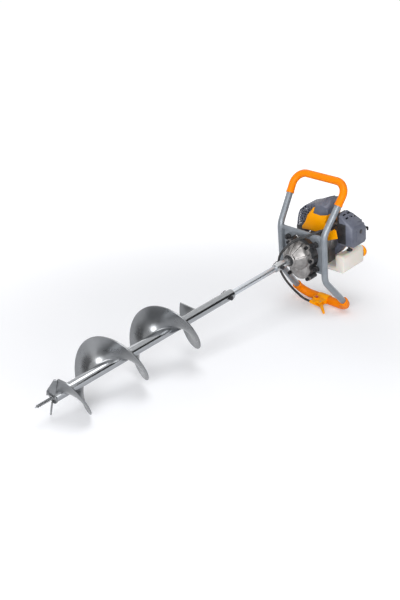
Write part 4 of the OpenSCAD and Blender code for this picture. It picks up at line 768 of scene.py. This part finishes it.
# %% Shield over the gearbox, skirt and baffle beside the top cover, lip of the cooling duct
PLATE_EDGE = 0.4
SKIRT = [(12, 154), (31, 148.5), (31, 151), (10, 159)]
BAFFLE = [(8, 134), (34, 134), (34, 149), (12, 157)]
DUCT_LIP = [(84, 62), (84, 14), (55, 8), (48, 26), (38, 40), (24, 50), (20, 62)]
PLATES = {
    "plate_shield": (upright(6.1, oblong((-46, 59), (46, 75))), 1.4, "frame_paint"),
    "cover_skirt": (upright(92, SKIRT), 54.0, "slate_plastic"),
    "guard_baffle": (upright(90, BAFFLE), 1.5, "slate_plastic"),
    "duct_lip": (upright(70, DUCT_LIP), 1.5, "black_plastic"),
}
for name, (outline, thick, slot) in PLATES.items():
    plate_piece(name, [(outline, (thick, 0, 0))], PLATE_EDGE, slot)
print("plates", len(PLATES))

# %% [markdown]
# ## Relief of the air filter
# The filter's cover is moulded with steps below its top, ribs on its face, a well round its screw and slats
# on its engine side. Each is a low outline on the cover's skin, sunk into it a little so that no gap shows.
# The well is not cut in: a black disc on the face gives its hollow as painted shade.

# %% Steps below the top
STEP_X, STEP_LONG, STEP_EDGE = 92, 68, 0.6
STEP_DROPS = {(-141, 115.2): 8, (-151, 109.1): 11.5}
STEP_RUN, STEP_UP = Vector((-5.0, -3.1)), Vector((-0.52, 0.85))
STEP_SUNK, STEP_PROUD = 1.5, 2
steps = []
for corner, drop in STEP_DROPS.items():
    low = Vector(corner) - STEP_UP * STEP_SUNK
    high = Vector(corner) + STEP_UP * STEP_PROUD
    outline = [low, low + STEP_RUN, high + STEP_RUN, high]
    steps.append((upright(STEP_X, outline), (STEP_LONG, 0, -drop)))
plate_piece("filter_steps", steps, STEP_EDGE, "slate_plastic")
print("steps", len(steps))

# %% Ribs on the face
FACE_Y = -159.5
RIB_XS, RIB_WIDE, RIB_Z = (91, 99, 107), 3.5, (42, 86)
RIB_PROUD, RIB_EDGE = 1.7, 0.5
ribs = []
for left in RIB_XS:
    corners = oblong((left, RIB_Z[0]), (left + RIB_WIDE, RIB_Z[1]))
    ribs.append(([(x, FACE_Y, z) for x, z in corners], (0, -RIB_PROUD, 0)))
plate_piece("filter_ribs", ribs, RIB_EDGE, "slate_plastic")
print("ribs", len(ribs))

# %% Well round the screw, drawn as a black disc of painted shade
WELL_AT, WELL_R, WELL_SIDES = (134, FACE_Y, 74), 8.0, 28
WELL_PROUD, WELL_EDGE = 1.2, 0.2
# The well is not sunk into the face. A thin black disc stands proud of the face, and its black is painted shade
# for the well's hollow.
bm = bmesh.new()
facing_out = Matrix.Translation(WELL_AT) @ Matrix.Rotation(math.pi / 2, 4, "X")
bmesh.ops.create_circle(bm, cap_ends=True, radius=WELL_R, segments=WELL_SIDES, matrix=facing_out)
[shade_disc] = bm.faces
thicken(bm, shade_disc, (0, -WELL_PROUD, 0), WELL_EDGE)
to_studio(bm)
new_piece(bm, "filter_screw_well_shade", "machine", "black_plastic")
print("well", 2 * WELL_R, "mm wide")

# %% Slats on the engine side, and the dark side behind them
SLAT_X, SLAT_Y, SLAT_LOW, SLAT_HIGH = 76.9, (-135, -108), 38, 3.4
SLATS, SLAT_PITCH, SLAT_T, SLAT_EDGE = 11, 7.0, 1.2, 0.3
SIDE_X, SIDE_Y, SIDE_Z, SIDE_T, SIDE_EDGE = 77.6, (-135.5, -107), (36, 114), 0.5, 0.1
slats = []
for k in range(SLATS):
    z = SLAT_LOW + k * SLAT_PITCH
    corners = oblong((SLAT_Y[0], z), (SLAT_Y[1], z + SLAT_HIGH))
    slats.append((upright(SLAT_X, corners), (SLAT_T, 0, 0)))
plate_piece("filter_slats", slats, SLAT_EDGE, "black_plastic")
side_corners = oblong((SIDE_Y[0], SIDE_Z[0]), (SIDE_Y[1], SIDE_Z[1]))
plate_piece("filter_side", [(upright(SIDE_X, side_corners), (SIDE_T, 0, 0))], SIDE_EDGE, "black_plastic")
print("slats", len(slats))

# %% [markdown]
# ## Welds of the frame
# The crossbar is welded between the legs. A hand-laid bead swells and narrows a little with each dab of the
# torch, so a small ring is drawn along the seam in short steps, and each step changes its size.

# %% Weld beads of the crossbar
SEAM_X, SEAM_Y, SEAM_Z = -3.6, 88.9, (74.5, 89.5)
SEAM_R, SEAM_SIDES, SEAM_STEP = 1.7, 12, 0.75
SEAM_SWELL, SEAM_BEAT, SEAM_TIP = 0.16, 1.9, 0.5
rows = int((SEAM_Z[1] - SEAM_Z[0]) / SEAM_STEP)
for name, y in (("far", SEAM_Y), ("near", -SEAM_Y)):
    bm = bmesh.new()
    at = Vector((SEAM_X, y, SEAM_Z[0]))
    size = SEAM_R * SEAM_TIP
    edges = start_ring(bm, at, Vector((0, 0, 1)), size, SEAM_SIDES)
    for row in range(rows):
        goal = at + Vector((0, 0, SEAM_STEP))
        swell = 1 + SEAM_SWELL * math.sin(row * SEAM_BEAT)
        goal_size = SEAM_R * swell * (SEAM_TIP if row == rows - 1 else 1.0)
        edges = carry_loop(bm, edges, at, goal, goal_size / size)
        at, size = goal, goal_size
    close_ends(bm)
    to_studio(bm)
    new_piece(bm, "crossbar_weld_" + name, "machine", "frame_paint")
print("dabs of a crossbar weld", rows)

# %% [markdown]
# ## Studio
# The picture has a white, even background and a soft shadow under the machine. A wide pale floor takes the
# shadow, and a little of its own light for camera and mirror rays brings it up to white. It gives more of it
# far from the machine, where the lamps reach less. The lamps stay at a plain level.

# %% Studio helpers
MATT = 0.9
SEEN_RAYS = ("Is Camera Ray", "Is Glossy Ray", "Is Transmission Ray")


def matt_paint(name, colour):
    """A dull paint for the studio's own pieces."""
    paint = bpy.data.materials.new(name)
    paint.use_nodes = True
    shader = paint.node_tree.nodes["Principled BSDF"]
    shader.inputs["Base Color"].default_value = (*colour, 1)
    shader.inputs["Roughness"].default_value = MATT
    return paint


def seen_rays(tree):
    """One for rays from the camera, from a mirror or through glass, and nought for the rest."""
    path = tree.nodes.new("ShaderNodeLightPath")
    seen = path.outputs[SEEN_RAYS[0]]
    for kind in SEEN_RAYS[1:]:
        either = tree.nodes.new("ShaderNodeMath")
        either.operation = "MAXIMUM"
        tree.links.new(seen, either.inputs[0])
        tree.links.new(path.outputs[kind], either.inputs[1])
        seen = either.outputs[0]
    return seen


# %% Floor
FLOOR_HALF, FLOOR_DROP, FLOOR_CELLS = 30.0, 0.0005, 4
FLOOR_COLOUR = (0.78, 0.79, 0.82)
FLOOR_NEAR, FLOOR_FAR = (0.5, 0.22), (2.0, 0.7)
bm = bmesh.new()
bmesh.ops.create_grid(bm, x_segments=FLOOR_CELLS, y_segments=FLOOR_CELLS, size=FLOOR_HALF)
floor_paint = matt_paint("studio_floor", FLOOR_COLOUR)
floor = add_object(bm, "studio_floor", floor_paint)
floor.location.z = -FLOOR_DROP
print("floor", FLOOR_HALF * 2, "m wide")

# %% The floor's own light
tree = floor_paint.node_tree
shader = tree.nodes["Principled BSDF"]
shader.inputs["Specular IOR Level"].default_value = 0.0
shader.inputs["Emission Color"].default_value = (1, 1, 1, 1)
reach = tree.nodes.new("ShaderNodeVectorMath")
reach.operation = "LENGTH"
tree.links.new(object_coordinates(tree), reach.inputs[0])
makeup = tree.nodes.new("ShaderNodeMapRange")
makeup.interpolation_type = "SMOOTHSTEP"
makeup.inputs["From Min"].default_value = FLOOR_NEAR[0]
makeup.inputs["From Max"].default_value = FLOOR_FAR[0]
makeup.inputs["To Min"].default_value = FLOOR_NEAR[1]
makeup.inputs["To Max"].default_value = FLOOR_FAR[1]
tree.links.new(reach.outputs["Value"], makeup.inputs["Value"])
lift = tree.nodes.new("ShaderNodeMath")
lift.operation = "MULTIPLY"
tree.links.new(seen_rays(tree), lift.inputs[0])
tree.links.new(makeup.outputs["Result"], lift.inputs[1])
tree.links.new(lift.outputs[0], shader.inputs["Emission Strength"])
print("floor light from", FLOOR_NEAR[1], "to", FLOOR_FAR[1])

# %% World
WORLD_LIGHT, WORLD_SEEN = 0.4, 1.0
world = bpy.data.worlds.new("studio_world")
bpy.context.scene.world = world
world.use_nodes = True
tree = world.node_tree
sky = tree.nodes["Background"]
sky.inputs["Color"].default_value = (1, 1, 1, 1)
level = tree.nodes.new("ShaderNodeMapRange")
level.inputs["To Min"].default_value = WORLD_LIGHT
level.inputs["To Max"].default_value = WORLD_SEEN
tree.links.new(seen_rays(tree), level.inputs["Value"])
tree.links.new(level.outputs["Result"], sky.inputs["Strength"])
print("world light", WORLD_LIGHT)

# %% [markdown]
# ## Soft lamps
# A studio lights a machine through wide cloths, so that edges of shadows are soft. A round area lamp does the
# same, and the wider it is, the softer it lights. One hangs overhead, one stands in front, a weak one lifts
# the back, and a small one adds a glint on the near side.

# %% Soft lamps, as place, aim, width and watts
LAMPS = {
    "key_lamp": ((-0.5, -0.5, 3.2), (0.1, 0, 0.1), 1.8, 34),
    "front_lamp": ((-3.0, -2.0, 1.25), (0.5, 0, 0.3), 2.4, 92),
    "back_lamp": ((1.0, 2.6, 2.4), (0.3, 0, 0.2), 2.0, 8),
    "side_lamp": ((-1.1, -2.4, 0.7), (0.55, -0.05, 0.25), 1.0, 16),
}
for name, (at, aim, width, watts) in LAMPS.items():
    light = bpy.data.lights.new(name, "AREA")
    light.shape = "DISK"
    light.size = width
    light.energy = watts
    lamp = bpy.data.objects.new(name, light)
    lamp.location = at
    lamp.rotation_euler = (Vector(aim) - Vector(at)).to_track_quat("-Z", "Y").to_euler()
    bpy.context.scene.collection.objects.link(lamp)
print("lamps", len(LAMPS))

# %% [markdown]
# ## Dark cards
# Bright metal needs something dark to mirror, or it looks like paper. Photographers stand black cards beside
# the set, out of the picture. The cards are part of the studio, and only mirror rays see them.

# %% Dark cards, as place on the floor, facing, size and tone
CARDS = {
    "right_card": ((1.5, -2.4), (-0.5, 0.86, 0), (4.2, 2.6), 0.04),
    "left_card": ((-2.7, 1.6), (0.78, -0.62, 0), (3.0, 1.5), 0.25),
}
CARD_CELLS = 2
for name, (at, facing, size, tone) in CARDS.items():
    bm = bmesh.new()
    bmesh.ops.create_grid(bm, x_segments=CARD_CELLS, y_segments=CARD_CELLS, size=0.5)
    bmesh.ops.scale(bm, verts=bm.verts, vec=(*size, 1))
    card = add_object(bm, name, matt_paint(name, (tone, tone, tone)))
    card.location = (*at, size[1] / 2)
    card.rotation_euler = Vector(facing).to_track_quat("Z", "Y").to_euler()
    card.visible_camera = False
    card.visible_diffuse = False
    card.visible_shadow = False
print("cards", len(CARDS))

# %% [markdown]
# ## Colours on the screen
# A film look would bend the colours that were matched to the photograph, so the plain view is used.

# %% View
view = bpy.context.scene.view_settings
view.view_transform = "Standard"
print("view", view.view_transform)
